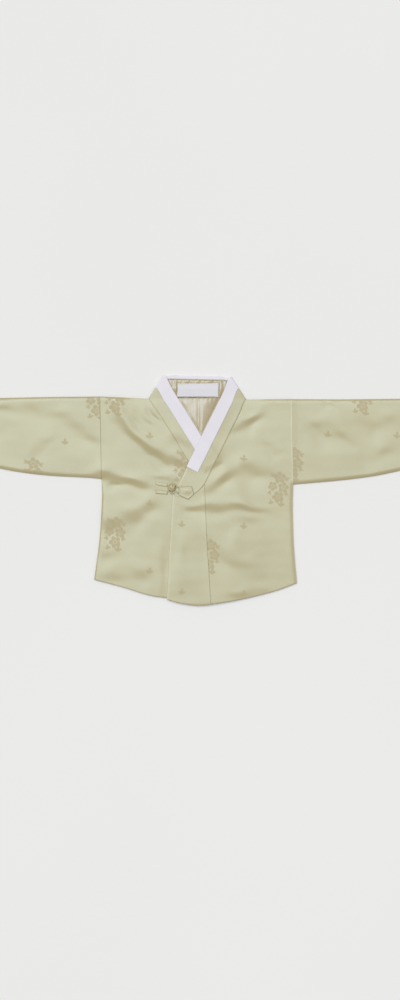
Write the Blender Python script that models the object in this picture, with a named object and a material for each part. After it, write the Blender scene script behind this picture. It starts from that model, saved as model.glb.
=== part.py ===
"""A first-birthday jeogori, the jacket of a Korean hanbok, laid flat and fastened.

The jacket lies on its back, seen from above: +X runs to the viewer's right, +Y from the hem to
the neck and +Z up from the surface. The wearer's right side is at -X. The left front laps over
the right one, as it does on every jeogori. Sizes are in millimetres up to the point where a mesh
is written, and the origin is under the middle of the whole jacket.

Layers, from the surface up: two back panels, the neck lining, the right front with its inner
lap, and the left front with its outer lap. One collar band runs from the end of the outer lap,
up over the fold at the neck, across the back and down to the inner lap, and a narrow white strip
rides on its upper half.
"""

import math
from collections import namedtuple

import bpy
import bmesh
from mathutils import Vector

MM = 0.001
SHARP_ANGLE = math.radians(40.0)
CURVE_STEPS = 16

# Cloth
WALL = 1.0
GAP = 0.3
STEP_UP = WALL + GAP
LAP_CLEARANCE = 0.3
PUFF = 2.0
PUFF_REACH = 20.0
HEM_PUFF = 0.35
FOLD_RANGE = (0.2, 1.75)
HIDDEN_FLATTER = 0.35
HIDDEN_FROM = (-25.0, 10.0)
UNDER_MARGIN = 25.0
STRIP_MARGIN = 10.0
INNER_EDGE_SPARE = 3.0

# Collar band and white strip
BAND_WIDTH = 36.0
STRIP_SHARE = 0.528
STRIP_LENGTH = 150.6
STRIP_WALL = 1.0
RETURN_WIDTH = 5.0
ROUND_START = 158.0
ROUND_REACH = 40.0
ROUND_SPAN = 39.0
SQUARE_AT = 60.0
SET_IN_AT = 30.0
LIP_AT = 4.0
LINING_LIFT = STEP_UP
FOLD_LIFT = 4.5
FOLD_LIFT_REACH = 28.0
CROSSING_LIFT = 3.0 * STEP_UP
CROSSING = (70.0, 100.0)
LINING_ENDS = (130.0, 160.0)
LIP_LIFT = 0.6
LIP_SLOPE = 0.1
BACK_RISE = 1.8
BACK_STEP = (0.55, 0.90)
FOLD_ANGLES = (30.0, 65.0, 100.0, 140.0)
BACK_CELLS = 9
STRIP_CELLS = 17
ROUND_CELLS = 7
LEVEL_CELLS = 3

# Panels
SEAM = GAP / 2.0
ROWS_BELOW = 13
ROWS_ABOVE = 9
SHOULDER_COLUMNS = 6
NECK_COLUMNS = 5
PANEL_COLUMNS = SHOULDER_COLUMNS + NECK_COLUMNS + 1
HEM_CELLS = 24

# Sleeves
SLEEVE_STATIONS = 18
SLEEVE_UNDER_CELLS = 4
SLEEVE_OVER_CELLS = 12

Point = namedtuple("Point", "x y")
SleeveSection = namedtuple("SleeveSection", "x_top y_top x_low y_low")
Fold = namedtuple("Fold", "x0 y0 x1 y1 half_width lift")

# The folds at the two sides of the neck, from the collar's upper edge to the neck seam
LEFT_FOLD = (Point(51.2, 170.4), Point(73.5, 136.2))
RIGHT_FOLD = (Point(-50.4, 172.8), Point(-72.8, 137.5))
OVER_DIRECTION = Vector((-0.444, -0.896))
UNDER_DIRECTION = Vector((0.528, -0.849))

# Outlines, from the hem up
RIGHT_SIDE = [Point(-154.2, -134.0), Point(-146.2, -73.2), Point(-142.4, -12.0), Point(-143.2, 16.8)]
LEFT_SIDE = [Point(150.0, -139.1), Point(145.3, -87.3), Point(143.4, -28.0), Point(144.0, 8.6)]
RIGHT_SHOULDER = [Point(-145.5, 140.5), Point(-73.2, 138.2)]
LEFT_SHOULDER = [Point(142.5, 136.5), Point(73.8, 136.6)]
RIGHT_HEM = [Point(-154.2, -134.0), Point(-111.7, -145.2), Point(-65.9, -158.6), Point(-18.0, -163.0)]
LEFT_HEM = [Point(20.9, -171.2), Point(67.4, -163.2), Point(113.3, -152.1), Point(150.0, -139.1)]
LAP_HEM = [Point(-45.3, -163.7), Point(-24.6, -169.5), Point(2.0, -172.8), Point(20.9, -171.2)]
LAP_EDGE = [Point(-45.3, -163.7), Point(-41.1, -87.3), Point(-37.6, -24.0), Point(-36.7, -7.8)]
LAP_SEAM = [Point(20.9, -171.2), Point(15.0, -75.9), Point(12.0, 7.0)]
INNER_SEAM = [Point(-18.0, -163.0), Point(-13.9, 46.0)]
INNER_EDGE = [Point(36.0, -163.5), Point(51.0, 0.0)]
BACK_HEM = [Point(-153.6, -132.5), Point(-80.0, -150.0), Point(0.0, -156.5), Point(149.4, -137.5)]
HEM_MIDDLE = 172.8
HEM_RISE = 33.0
HEM_SPAN = 150.0

RIGHT_SLEEVE = [
    SleeveSection(-145.5, 140.5, -143.2, 16.8),
    SleeveSection(-167.0, 140.3, -167.0, 19.0),
    SleeveSection(-220.0, 139.8, -220.0, 21.8),
    SleeveSection(-261.0, 139.0, -261.0, 26.4),
    SleeveSection(-295.5, 138.2, -295.5, 32.6),
    SleeveSection(-355.5, 136.8, -355.5, 46.8),
]
LEFT_SLEEVE = [
    SleeveSection(142.5, 136.5, 144.0, 8.6),
    SleeveSection(170.4, 136.4, 170.4, 10.8),
    SleeveSection(216.3, 136.2, 216.3, 14.9),
    SleeveSection(262.2, 136.6, 262.2, 20.7),
    SleeveSection(304.5, 137.1, 304.5, 29.4),
    SleeveSection(355.5, 137.5, 355.5, 42.3),
]

# The largest folds: a soft ridge where lift is above zero, a trough where it is below
FOLDS = [
    Fold(-108.0, 113.0, -33.0, 60.0, 10.0, 0.55),
    Fold(-115.5, 98.0, -55.5, 53.0, 9.0, -0.55),
    Fold(-55.5, 53.0, -18.0, 45.0, 9.0, -0.40),
    Fold(-88.0, 129.0, -64.0, 106.0, 8.0, 0.55),
    Fold(-166.0, 22.0, -85.0, 25.0, 9.0, -0.50),
    Fold(-135.0, 8.0, -108.0, 14.0, 8.0, 0.60),
    Fold(-139.0, -45.0, -70.0, -30.0, 11.0, -0.50),
    Fold(-70.0, -30.0, -55.0, -18.0, 9.0, -0.35),
    Fold(-70.0, -60.0, -48.0, -105.0, 14.0, 0.35),
    Fold(-115.0, -130.0, -63.0, -131.0, 11.0, -0.40),
    Fold(60.0, 99.0, 94.5, 110.0, 9.0, -0.55),
    Fold(94.5, 110.0, 117.0, 125.0, 9.0, -0.45),
    Fold(27.0, 15.0, 52.5, 35.0, 10.0, 0.40),
    Fold(52.5, 35.0, 79.5, 42.0, 10.0, 0.45),
    Fold(42.0, 13.0, 64.5, 25.0, 9.0, -0.50),
    Fold(64.5, 25.0, 102.0, 14.0, 9.0, -0.45),
    Fold(-8.0, -13.0, 80.0, -13.0, 8.0, 0.45),
    Fold(-3.0, -29.0, 94.0, -28.0, 9.0, -0.50),
    Fold(19.5, -60.0, 117.0, -127.0, 14.0, 0.35),
    Fold(27.0, -105.0, 79.5, -142.0, 13.0, -0.35),
    Fold(-273.0, 124.0, -220.0, 127.0, 10.0, -0.45),
    Fold(-258.0, 112.0, -200.0, 108.0, 10.0, 0.40),
    Fold(-300.0, 100.0, -258.0, 96.0, 11.0, -0.40),
    Fold(-243.0, 68.0, -190.0, 84.0, 10.0, -0.35),
    Fold(-340.0, 92.0, -300.0, 74.0, 12.0, 0.35),
    Fold(165.0, 110.0, 202.0, 95.0, 10.0, -0.45),
    Fold(202.0, 95.0, 237.0, 75.0, 10.0, -0.45),
    Fold(184.0, 120.0, 232.0, 106.0, 10.0, 0.40),
    Fold(267.0, 110.0, 297.0, 93.0, 11.0, -0.40),
    Fold(300.0, 66.0, 345.0, 84.0, 12.0, 0.35),
]

# Neck lining, facing and label, on the inside of the back
LINING_TUCK = 8.0
LINING_TOP = 135.3
LINING_FOOT = 66.0
LINING_ROWS = 8
GATHERS = 9
GATHER_CELLS = 3
GATHER_HEIGHT = 0.28
GATHER_REACH = 22.0
FACING_TUCK = 5.0
FACING_CELLS = (14, 4)
LABEL_CLEARANCE = 0.2
LABEL_CELLS = (6, 3)
LABEL_CORNERS = (Point(-28.2, 140.2), Point(31.8, 140.2), Point(32.6, 160.6), Point(-27.2, 158.2))

# Knot button, its two cords, its loop and the loop's tab
KNOT_CENTRE = Point(-38.0, 3.6)
KNOT_RADII = Vector((5.6, 6.6, 4.0))
KNOT_SEGMENTS = (20, 12)
CORD_WIDTH = 5.0
CORD_HEIGHT = 1.8
CORD_TAIL_X = -62.0
CORD_HEAD_X = -46.8
CORD_UPPER = (9.6, 7.2)
CORD_LOWER = (-2.6, -1.4)
CORD_CELLS = (5, 2)
LOOP_RADIUS = 1.0
LOOP_CLEARANCE = 0.3
LOOP_RADII = (7.2, 8.3)
LOOP_POINTS = 26
LOOP_OPENING = math.radians(42.0)
LOOP_TAB_X = -27.9
LOOP_TAB_Y = (3.2, -4.4)
LAP_CLIMB = (-41.5, -35.8)
TAB_WALL = 1.5
TAB_CELLS = 6
TAB_CORNERS = (
    Point(-27.4, -7.6),
    Point(-13.0, -14.1),
    Point(-4.2, -5.7),
    Point(-8.0, 5.6),
    Point(-26.7, 6.2),
)

Finish = namedtuple("Finish", "colour roughness")
SATIN = Finish((0.52, 0.50, 0.37), 0.35)
WHITE = Finish((0.78, 0.77, 0.80), 0.70)
LINING = Finish((0.66, 0.60, 0.40), 0.28)
LABEL = Finish((0.82, 0.82, 0.83), 0.60)


def clear_scene():
    for old in list(bpy.data.objects):
        bpy.data.objects.remove(old, do_unlink=True)


def vectors(points):
    return [Vector((point.x, point.y)) for point in points]


def smoothstep(low, high, value):
    share = min(max((value - low) / (high - low), 0.0), 1.0)
    return share * share * (3.0 - 2.0 * share)


def ramp(inside, margin):
    """One inside a footprint, falling to zero over a margin outside it."""
    return smoothstep(-margin, 0.0, inside)


def saturate(distance):
    return 1.0 - math.exp(-max(distance, 0.0) / PUFF_REACH)


def along_line(points, value, of, to):
    """Reads one coordinate of a polyline as a function of another, held past its ends."""
    rows = sorted(points, key=lambda row: getattr(row, of))
    for low, high in zip(rows, rows[1:]):
        if value <= getattr(high, of):
            span = getattr(high, of) - getattr(low, of)
            share = min(max((value - getattr(low, of)) / span, 0.0), 1.0)
            return getattr(low, to) * (1.0 - share) + getattr(high, to) * share
    return getattr(rows[-1], to)


def smooth_curve(points, cells):
    """Evenly spaced points on a Catmull-Rom curve through the given ones."""
    route = [points[0] * 2.0 - points[1]] + list(points) + [points[-1] * 2.0 - points[-2]]
    dense = []
    for before, start, end, after in zip(route, route[1:], route[2:], route[3:]):
        for step in range(CURVE_STEPS):
            t = step / CURVE_STEPS
            dense.append(0.5 * (2.0 * start + (end - before) * t
                                + (2.0 * before - 5.0 * start + 4.0 * end - after) * t ** 2
                                + (3.0 * start - before - 3.0 * end + after) * t ** 3))
    dense.append(points[-1].copy())
    return evenly(dense, cells)


def evenly(route, cells):
    """Evenly spaced points along a polyline, its ends among them."""
    lengths = [0.0]
    for start, end in zip(route, route[1:]):
        lengths.append(lengths[-1] + (end - start).length)
    result = []
    leg = 0
    for cell in range(cells + 1):
        target = lengths[-1] * cell / cells
        while leg < len(route) - 2 and lengths[leg + 1] < target:
            leg += 1
        share = (target - lengths[leg]) / max(lengths[leg + 1] - lengths[leg], 1e-9)
        result.append(route[leg].lerp(route[leg + 1], min(max(share, 0.0), 1.0)))
    return result


def shares(route):
    """How far along a route each of its points lies, from zero to one."""
    lengths = [0.0]
    for start, end in zip(route, route[1:]):
        lengths.append(lengths[-1] + (end - start).length)
    return [length / lengths[-1] for length in lengths]


def patch(bottom, top, left, right):
    """Grid of points between four edges that share their corners, rows from bottom to top."""
    across = [(low + high) / 2.0 for low, high in zip(shares(bottom), shares(top))]
    upward = [(low + high) / 2.0 for low, high in zip(shares(left), shares(right))]
    grid = []
    for row, v in enumerate(upward):
        line = []
        for column, u in enumerate(across):
            sideways = left[row].lerp(right[row], u)
            endways = bottom[column].lerp(top[column], v)
            corners = bottom[0].lerp(bottom[-1], u).lerp(top[0].lerp(top[-1], u), v)
            line.append(sideways + endways - corners)
        grid.append(line)
    return grid


def quad_grid(corners, columns, rows):
    """Grid of points over a quadrilateral, its corners given round it from the lower left."""
    foot, right, top_right, top_left = corners
    bottom, top = evenly([foot, right], columns), evenly([top_left, top_right], columns)
    return patch(bottom, top, evenly([foot, top_left], rows), evenly([right, top_right], rows))


def shifted(route, x):
    return [point + Vector((x, 0.0)) for point in route]


def new_object(name, mesh, finish, collection):
    material = bpy.data.materials.new(name)
    material.use_nodes = True
    shader = material.node_tree.nodes["Principled BSDF"]
    shader.inputs["Base Color"].default_value = (*finish.colour, 1.0)
    shader.inputs["Roughness"].default_value = finish.roughness
    shader.inputs["Metallic"].default_value = 0.0
    mesh.materials.append(material)
    piece = bpy.data.objects.new(name, mesh)
    collection.objects.link(piece)
    return piece


def write_mesh(name, work, finish, collection):
    """Turns a bmesh in millimetres into a named object in metres, its faces pointing out."""
    bmesh.ops.recalc_face_normals(work, faces=work.faces)
    bmesh.ops.scale(work, vec=(MM, MM, MM), verts=work.verts)
    mesh = bpy.data.meshes.new(name)
    work.to_mesh(mesh)
    work.free()
    mesh.shade_smooth()
    mesh.set_sharp_from_angle(angle=SHARP_ANGLE)
    return new_object(name, mesh, finish, collection)


def cloth_sheet(name, grid, underside, wall, finish, collection):
    """A sheet of even wall over a grid of points, its underside at the height a function gives."""
    rows = len(grid) - 1
    columns = len(grid[0]) - 1
    work = bmesh.new()
    bmesh.ops.create_grid(work, x_segments=columns, y_segments=rows, size=1.0)
    for vertex in work.verts:
        column = round((vertex.co.x + 1.0) / 2.0 * columns)
        row = round((vertex.co.y + 1.0) / 2.0 * rows)
        place = grid[row][column]
        vertex.co = (place.x, place.y, underside(place.x, place.y))
    raised = bmesh.ops.extrude_face_region(work, geom=work.faces[:])
    upper = [item for item in raised["geom"] if isinstance(item, bmesh.types.BMVert)]
    bmesh.ops.translate(work, vec=(0.0, 0.0, wall), verts=upper)
    return write_mesh(name, work, finish, collection)


def bridge(work, first, second):
    """Faces between two closed rings of the same number of points."""
    count = len(first)
    for index in range(count):
        following = (index + 1) % count
        work.faces.new((first[index], first[following], second[following], second[index]))


def solid_loft(name, sections, finish, collection):
    """A closed solid through rings of points, capped at both ends."""
    work = bmesh.new()
    rings = [[work.verts.new(point) for point in section] for section in sections]
    for first, second in zip(rings, rings[1:]):
        bridge(work, first, second)
    work.faces.new(rings[0])
    work.faces.new(rings[-1])
    return write_mesh(name, work, finish, collection)


def fold_share(x, y):
    """How much the folds near a point raise or lower the cloth, as a factor."""
    factor = 1.0
    place = Vector((x, y))
    for fold in FOLDS:
        start = Vector((fold.x0, fold.y0))
        run = Vector((fold.x1, fold.y1)) - start
        share = min(max((place - start).dot(run) / run.length_squared, 0.0), 1.0)
        distance = (place - start - run * share).length
        factor += fold.lift * math.exp(-(distance / fold.half_width) ** 2)
    return min(max(factor, FOLD_RANGE[0]), FOLD_RANGE[1])


def shoulder_height(x):
    right = [Point(row.x_top, row.y_top) for row in RIGHT_SLEEVE] + RIGHT_SHOULDER[1:]
    left = LEFT_SHOULDER[1:] + [Point(row.x_top, row.y_top) for row in LEFT_SLEEVE]
    return along_line(right + left, x, "x", "y")


def lower_distance(x, y):
    """Distance from a point to the closed edge below or beside it, on its own side."""
    if x < 0.0:
        side, sleeve = RIGHT_SIDE, RIGHT_SLEEVE
    else:
        side, sleeve = LEFT_SIDE, LEFT_SLEEVE
    underarm = side[-1]
    if abs(x) >= abs(underarm.x) and y > underarm.y - 1.0:
        return y - along_line(sleeve, x, "x_low", "y_low")
    if y > underarm.y:
        return math.hypot(x - underarm.x, y - underarm.y)
    return abs(along_line(side, y, "y", "x")) - abs(x)


def front_height(x, y):
    """Underside of a front or of a sleeve's upper wall: the back's wall, a gap and the puff."""
    puff = PUFF * saturate(shoulder_height(x) - y) * saturate(lower_distance(x, y))
    hem = -HEM_MIDDLE + HEM_RISE * (x / HEM_SPAN) ** 2
    puff *= HEM_PUFF + (1.0 - HEM_PUFF) * saturate(y - hem)
    return STEP_UP + puff * fold_share(x, y)


def under_height(x, y):
    """Underside of the right front, which lies flatter where the left front covers it."""
    flatter = HIDDEN_FLATTER * smoothstep(*HIDDEN_FROM, x)
    return STEP_UP + (front_height(x, y) - STEP_UP) * (1.0 - flatter)


class CollarRun:
    """One front run of the collar, from its fold at the neck down to its end at the lap.

    A place on it is a distance down the run and a share across the band, zero at the free upper
    edge and one at the seam. The rulings start along the fold and square up further down.
    """

    def __init__(self, fold, direction):
        self.top = Vector(fold[0])
        self.seam_end = Vector(fold[1])
        self.direction = direction.normalized()
        across = Vector((-self.direction.y, self.direction.x))
        if across.dot(self.seam_end - self.top) < 0.0:
            across = -across
        self.across = across
        self.lead = (self.seam_end - self.top).dot(self.direction)
        self.spread = (self.seam_end - self.top).dot(self.across) - BAND_WIDTH

    def width(self, down):
        if down <= ROUND_START:
            return BAND_WIDTH
        return BAND_WIDTH * math.sqrt(1.0 - ((down - ROUND_START) / ROUND_REACH) ** 2)

    def place(self, down, share):
        upper = self.top + self.direction * down
        slanted = 1.0 - smoothstep(0.0, SQUARE_AT, down)
        width = self.width(down) + self.spread * slanted
        return upper + (self.across * width + self.direction * self.lead * slanted) * share

    def coordinates(self, x, y):
        offset = Vector((x, y)) - self.top
        return offset.dot(self.direction), offset.dot(self.across)


OVER = CollarRun(LEFT_FOLD, OVER_DIRECTION)
UNDER = CollarRun(RIGHT_FOLD, UNDER_DIRECTION)


def under_lift(down):
    """How far the right run's upper edge stands above the front: over the lining, then the fold."""
    lining = LINING_LIFT * (1.0 - smoothstep(*LINING_ENDS, down))
    return lining + (FOLD_LIFT - LINING_LIFT) * math.exp(-(down / FOLD_LIFT_REACH) ** 2)


def over_lift(down):
    lift = FOLD_LIFT + (CROSSING_LIFT - FOLD_LIFT) * smoothstep(0.0, CROSSING[0], down)
    return lift * (1.0 - smoothstep(*CROSSING, down))


def over_height(x, y):
    """Underside of the left front and its lap: the front's height, raised over the right one."""
    down, across = UNDER.coordinates(x, y)
    inner_edge = along_line(INNER_EDGE, y, "y", "x") + INNER_EDGE_SPARE
    body = ramp(min(across, inner_edge - x), UNDER_MARGIN)
    strip_width = BAND_WIDTH * STRIP_SHARE
    strip = ramp(min(across, strip_width - across, STRIP_LENGTH - down), STRIP_MARGIN)
    share = min(max(across / BAND_WIDTH, 0.0), 1.0)
    lift = under_lift(max(down, FOLD_LIFT_REACH * 2.0)) * (1.0 - share) * ramp(across, UNDER_MARGIN)
    lapped = (STEP_UP + LAP_CLEARANCE) * body
    return front_height(x, y) + lapped + lift + (STRIP_WALL + GAP) * strip * body


def band_height(run, down, share):
    """Middle of the collar band's wall at a place on one of its front runs."""
    place = run.place(down, share)
    if run is OVER:
        return over_height(place.x, place.y) + over_lift(down) * (1.0 - share) + WALL / 2.0
    return under_height(place.x, place.y) + under_lift(down) * (1.0 - share) + WALL / 2.0


def back_height(share):
    """Middle of the band's wall across the back: over the strip above, on the surface below."""
    upper = WALL / 2.0 + GAP + STRIP_WALL
    step = (share - BACK_STEP[0]) / (BACK_STEP[1] - BACK_STEP[0])
    return upper + (WALL / 2.0 - upper) * min(max(step, 0.0), 1.0)


def fold_radius(run, share):
    return (band_height(run, 0.0, share) - back_height(share)) / 2.0


def fold_outward(run):
    """Level direction in which a fold at the neck bulges."""
    line = (run.seam_end - run.top).normalized()
    outward = Vector((-line.y, line.x))
    return outward if outward.dot(run.direction) < 0.0 else -outward


def axis_place(run, share):
    """A place on the line that a fold turns about, set in so the fold ends at the outline."""
    reach = fold_radius(run, share) + STRIP_WALL + GAP + WALL / 2.0
    if share > STRIP_SHARE:
        reach = fold_radius(run, share) + WALL / 2.0
    return run.top.lerp(run.seam_end, share) - fold_outward(run) * reach


def front_place(run, down, share):
    """A place on a front run, set in near its fold by the room that the fold takes."""
    blend = 1.0 - smoothstep(0.0, SET_IN_AT, down)
    inset = axis_place(run, share) - run.top.lerp(run.seam_end, share)
    return run.place(down, share) + inset * blend


def front_station(run, down):
    """Places across the band at a distance down a front run."""

    def at(share, offset):
        place = front_place(run, down, share)
        return Vector((place.x, place.y, band_height(run, down, share) + offset))

    return at


def fold_station(run, angle):
    """Places across the band in the fold, turned by an angle from the front to the back."""

    def at(share, offset):
        radius = fold_radius(run, share)
        middle = band_height(run, 0.0, share) - radius
        place = axis_place(run, share) + fold_outward(run) * ((radius + offset) * math.sin(angle))
        return Vector((place.x, place.y, middle + (radius + offset) * math.cos(angle)))

    return at


def back_place(part, share):
    """A place across the back, at a part of the way from the left fold to the right one."""
    place = axis_place(OVER, share).lerp(axis_place(UNDER, share), part)
    rise = BACK_RISE * min(1.0, part * BACK_CELLS, (1.0 - part) * BACK_CELLS)
    return place + Vector((0.0, rise * (1.0 - share)))


def back_part(x, share):
    """The part of the way across the back at which a level of the band passes an X."""
    start, end = axis_place(OVER, share).x, axis_place(UNDER, share).x
    return min(max((start - x) / (start - end), 0.0), 1.0)


def back_station(part):
    """Places across the band on the back."""

    def at(share, offset):
        place = back_place(part, share)
        return Vector((place.x, place.y, back_height(share) - offset))

    return at


def collar_stations(end_distances):
    """Every station of the collar in turn, each with its distance from the nearer fold."""
    fold_angles = [math.radians(angle) for angle in FOLD_ANGLES]
    back_parts = [index / BACK_CELLS for index in range(BACK_CELLS + 1)]
    stations = [(down, front_station(OVER, down)) for down in reversed(end_distances)]
    stations += [(0.0, fold_station(OVER, angle)) for angle in fold_angles]
    stations += [(0.0, back_station(part)) for part in back_parts]
    stations += [(0.0, fold_station(UNDER, angle)) for angle in reversed(fold_angles)]
    stations += [(down, front_station(UNDER, down)) for down in end_distances]
    return stations


def strip_distances():
    """Stations down a front run as far as the white strip reaches."""
    even = [STRIP_LENGTH * cell / STRIP_CELLS for cell in range(1, STRIP_CELLS + 1)]
    return [0.0, LIP_AT] + even


def rounded_distances():
    """Stations round the band's curved end, closer together where it turns faster."""
    turns = [math.pi / 2.0 * cell / ROUND_CELLS for cell in range(ROUND_CELLS + 1)]
    return [ROUND_START + ROUND_SPAN * math.sin(turn) for turn in turns]


def strip_levels():
    """Shares across the band that the strip's outer face spans, from its lip to its lower edge."""
    lip = STRIP_WALL / BAND_WIDTH
    return [lip + (STRIP_SHARE - lip) * cell / LEVEL_CELLS for cell in range(LEVEL_CELLS + 1)]


def build_collar_band(collection):
    inset = (STRIP_WALL + GAP) / BAND_WIDTH
    covered = [inset] + strip_levels()[1:]
    bare = [STRIP_SHARE + (1.0 - STRIP_SHARE) * cell / LEVEL_CELLS for cell in range(1, LEVEL_CELLS + 1)]
    levels = covered + bare
    half = WALL / 2.0
    sections = []
    for _, at in collar_stations(strip_distances() + rounded_distances()):
        outer = [at(share, half) for share in levels]
        inner = [at(share, -half) for share in reversed(levels)]
        sections.append(outer + inner)
    solid_loft("collar_band", sections, SATIN, collection)


def build_collar_strip(collection):
    """The white strip: its outer face, a lip over the band's edge and a return at the back."""
    low = WALL / 2.0 + GAP
    high = low + STRIP_WALL
    face = strip_levels()
    lip = face[0]
    sections = []
    for down, at in collar_stations(strip_distances()):
        tuck = smoothstep(0.0, LIP_AT, down)
        rise = smoothstep(LIP_AT, 2.0 * LIP_AT, down)
        returned = lip + (RETURN_WIDTH / BAND_WIDTH - lip) * (1.0 - tuck)
        deep = -high + (high - WALL / 2.0) * rise
        shallow = -low * (1.0 - LIP_LIFT * rise)
        section = [at(share, high) for share in reversed(face)]
        section += [at(0.0, high), at(0.0, deep), at(returned, deep), at(returned, shallow)]
        section += [at(lip, shallow + LIP_SLOPE * rise)]
        section += [at(share, low) for share in face]
        sections.append(section)
    solid_loft("collar_strip", sections, WHITE, collection)


def seam_edge(run):
    """A panel's whole edge beside the band, a gap out from it, from the fold round to the end."""
    downs = strip_distances() + rounded_distances()
    route = [front_place(run, down, 1.0) for down in downs]
    route.append(front_place(run, downs[-1], 0.0))
    return offset_route(route, run.across)


def offset_route(route, side):
    """A polyline moved sideways by the gap, to the side that a direction names at its start."""
    normals = []
    for start, end in zip(route, route[1:]):
        leg = (end - start).normalized()
        normals.append(Vector((-leg.y, leg.x)))
    sign = 1.0 if normals[0].dot(side) > 0.0 else -1.0
    result = [route[0] + normals[0] * GAP * sign]
    for before, after, place in zip(normals, normals[1:], route[1:]):
        miter = (before + after).normalized()
        result.append(place + miter * (GAP * sign / miter.dot(after)))
    result.append(route[-1] + normals[-1] * GAP * sign)
    return result


def neck_corner(run):
    """The corner of a panel beside the outermost point of the fold's seam edge."""
    line = (run.seam_end - run.top).normalized()
    return run.seam_end + line * (2.0 * GAP)


def side_route(side, shoulder, inward, rows_above=ROWS_ABOVE):
    """A body panel's outer edge: the side seam, then the armhole up to the shoulder."""
    below = smooth_curve(vectors(side), ROWS_BELOW)
    above = evenly([below[-1], Vector(shoulder[0])], rows_above)
    return shifted(below + above[1:], inward)


def build_backs(collection):
    hem = smooth_curve(vectors(BACK_HEM), HEM_CELLS)
    middle = min(range(len(hem)), key=lambda index: abs(hem[index].x))
    hem[middle] = Vector((0.0, hem[middle].y))
    neck_y = (axis_place(UNDER, 1.0).y + axis_place(OVER, 1.0).y) / 2.0 - GAP
    halves = (
        ("back_right", RIGHT_SIDE, RIGHT_SHOULDER, hem[:middle + 1], SEAM, UNDER),
        ("back_left", LEFT_SIDE, LEFT_SHOULDER, hem[middle:][::-1], -SEAM, OVER),
    )
    for name, side, shoulder, hem_run, inward, run in halves:
        outer = side_route(side, shoulder, inward)
        outer[0] = hem_run[0] + Vector((inward, 0.0))
        foot = hem_run[-1] + Vector((-inward, 0.0))
        bottom = evenly([outer[0]] + hem_run[1:-1] + [foot], PANEL_COLUMNS)
        corner = neck_corner(run)
        neck_point = axis_place(run, 1.0) + Vector((0.0, -2.0 * GAP))
        top = evenly([outer[-1], corner], SHOULDER_COLUMNS) + [neck_point]
        top += evenly([neck_point, Vector((-inward, neck_y))], NECK_COLUMNS)[1:]
        centre = evenly([foot, Vector((-inward, neck_y))], ROWS_BELOW + ROWS_ABOVE)
        if inward < 0.0:
            grid = patch(bottom[::-1], top[::-1], centre, outer)
        else:
            grid = patch(bottom, top, outer, centre)
        cloth_sheet(name, grid, lambda x, y: 0.0, WALL, SATIN, collection)


def build_front_right(collection):
    outer = side_route(RIGHT_SIDE, RIGHT_SHOULDER, SEAM)
    seam_foot = Vector(INNER_SEAM[0]) + Vector((-SEAM, 0.0))
    edge = seam_edge(UNDER)
    meeting = nearest(edge, Vector(INNER_SEAM[1]))
    collar = evenly(edge[:meeting + 1][::-1], ROWS_ABOVE - 1) + [neck_corner(UNDER)]
    collar[0] = collar[0] + Vector((-SEAM, 0.0))
    inner = evenly([seam_foot, collar[0]], ROWS_BELOW) + collar[1:]
    bottom = smooth_curve([outer[0]] + vectors(RIGHT_HEM)[1:-1] + [inner[0]], PANEL_COLUMNS)
    top = evenly([outer[-1], inner[-1]], PANEL_COLUMNS)
    grid = patch(bottom, top, outer, inner)
    cloth_sheet("front_right", grid, under_height, WALL, SATIN, collection)


def build_front_left(collection):
    edge = seam_edge(OVER)
    meeting = nearest(edge, Vector(LAP_SEAM[-1]))
    straight = len(strip_distances())
    collar = edge[meeting:straight - 1:-1]
    collar += evenly(edge[:straight][::-1], ROWS_ABOVE - 1) + [neck_corner(OVER)]
    seam = smooth_curve(vectors(LAP_SEAM[:-1]) + [collar[0]], ROWS_BELOW)
    inner = shifted(seam, SEAM) + collar[1:]
    outer = side_route(LEFT_SIDE, LEFT_SHOULDER, -SEAM, len(collar) - 1)
    bottom = smooth_curve([inner[0]] + vectors(LEFT_HEM)[1:-1] + [outer[0]], PANEL_COLUMNS)
    top = evenly([inner[-1], outer[-1]], PANEL_COLUMNS)
    grid = patch(bottom, top, inner, outer)
    cloth_sheet("front_left", grid, over_height, WALL, SATIN, collection)


def nearest(route, place):
    """Index of the point of a route that lies nearest to a place."""
    return min(range(len(route)), key=lambda index: (route[index] - place).length)


def build_outer_lap(collection):
    collar = seam_edge(OVER)
    top = collar[nearest(collar, Vector(LAP_SEAM[-1])):][::-1]
    edge = smooth_curve(vectors(LAP_EDGE[:-1]) + [top[0]], ROWS_BELOW)
    seam = shifted(smooth_curve(vectors(LAP_SEAM[:-1]) + [top[-1]], ROWS_BELOW), -SEAM)
    top[-1] = seam[-1]
    bottom = smooth_curve([edge[0]] + vectors(LAP_HEM)[1:-1] + [seam[0]], len(top) - 1)
    grid = patch(bottom, top, edge, seam)
    cloth_sheet("outer_lap", grid, over_height, WALL, SATIN, collection)


def build_inner_lap(collection):
    collar = seam_edge(UNDER)
    top = collar[nearest(collar, Vector(INNER_SEAM[1])):]
    top[0] = top[0] + Vector((SEAM, 0.0))
    seam = evenly([Vector(INNER_SEAM[0]) + Vector((SEAM, 0.0)), top[0]], ROWS_BELOW)
    edge = evenly([Vector(INNER_EDGE[0]), top[-1]], ROWS_BELOW)
    bottom = evenly([seam[0], edge[0]], len(top) - 1)
    grid = patch(bottom, top, seam, edge)
    cloth_sheet("inner_lap", grid, under_height, WALL, SATIN, collection)


def sleeve_ring(high, low, inset):
    """One ring of a flattened sleeve: along the surface, then back over the upper wall."""
    low = low + Vector((0.0, inset))
    high = high - Vector((0.0, inset))
    ring = []
    for cell in range(SLEEVE_UNDER_CELLS + 1):
        place = low.lerp(high, cell / SLEEVE_UNDER_CELLS)
        ring.append(Vector((place.x, place.y, inset)))
    for cell in range(SLEEVE_OVER_CELLS + 1):
        even = cell / SLEEVE_OVER_CELLS
        closer_at_edges = (1.0 - math.cos(math.pi * even)) / 2.0
        place = high.lerp(low, (even + closer_at_edges) / 2.0)
        ring.append(Vector((place.x, place.y, front_height(place.x, place.y) + WALL - inset)))
    return ring


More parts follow.
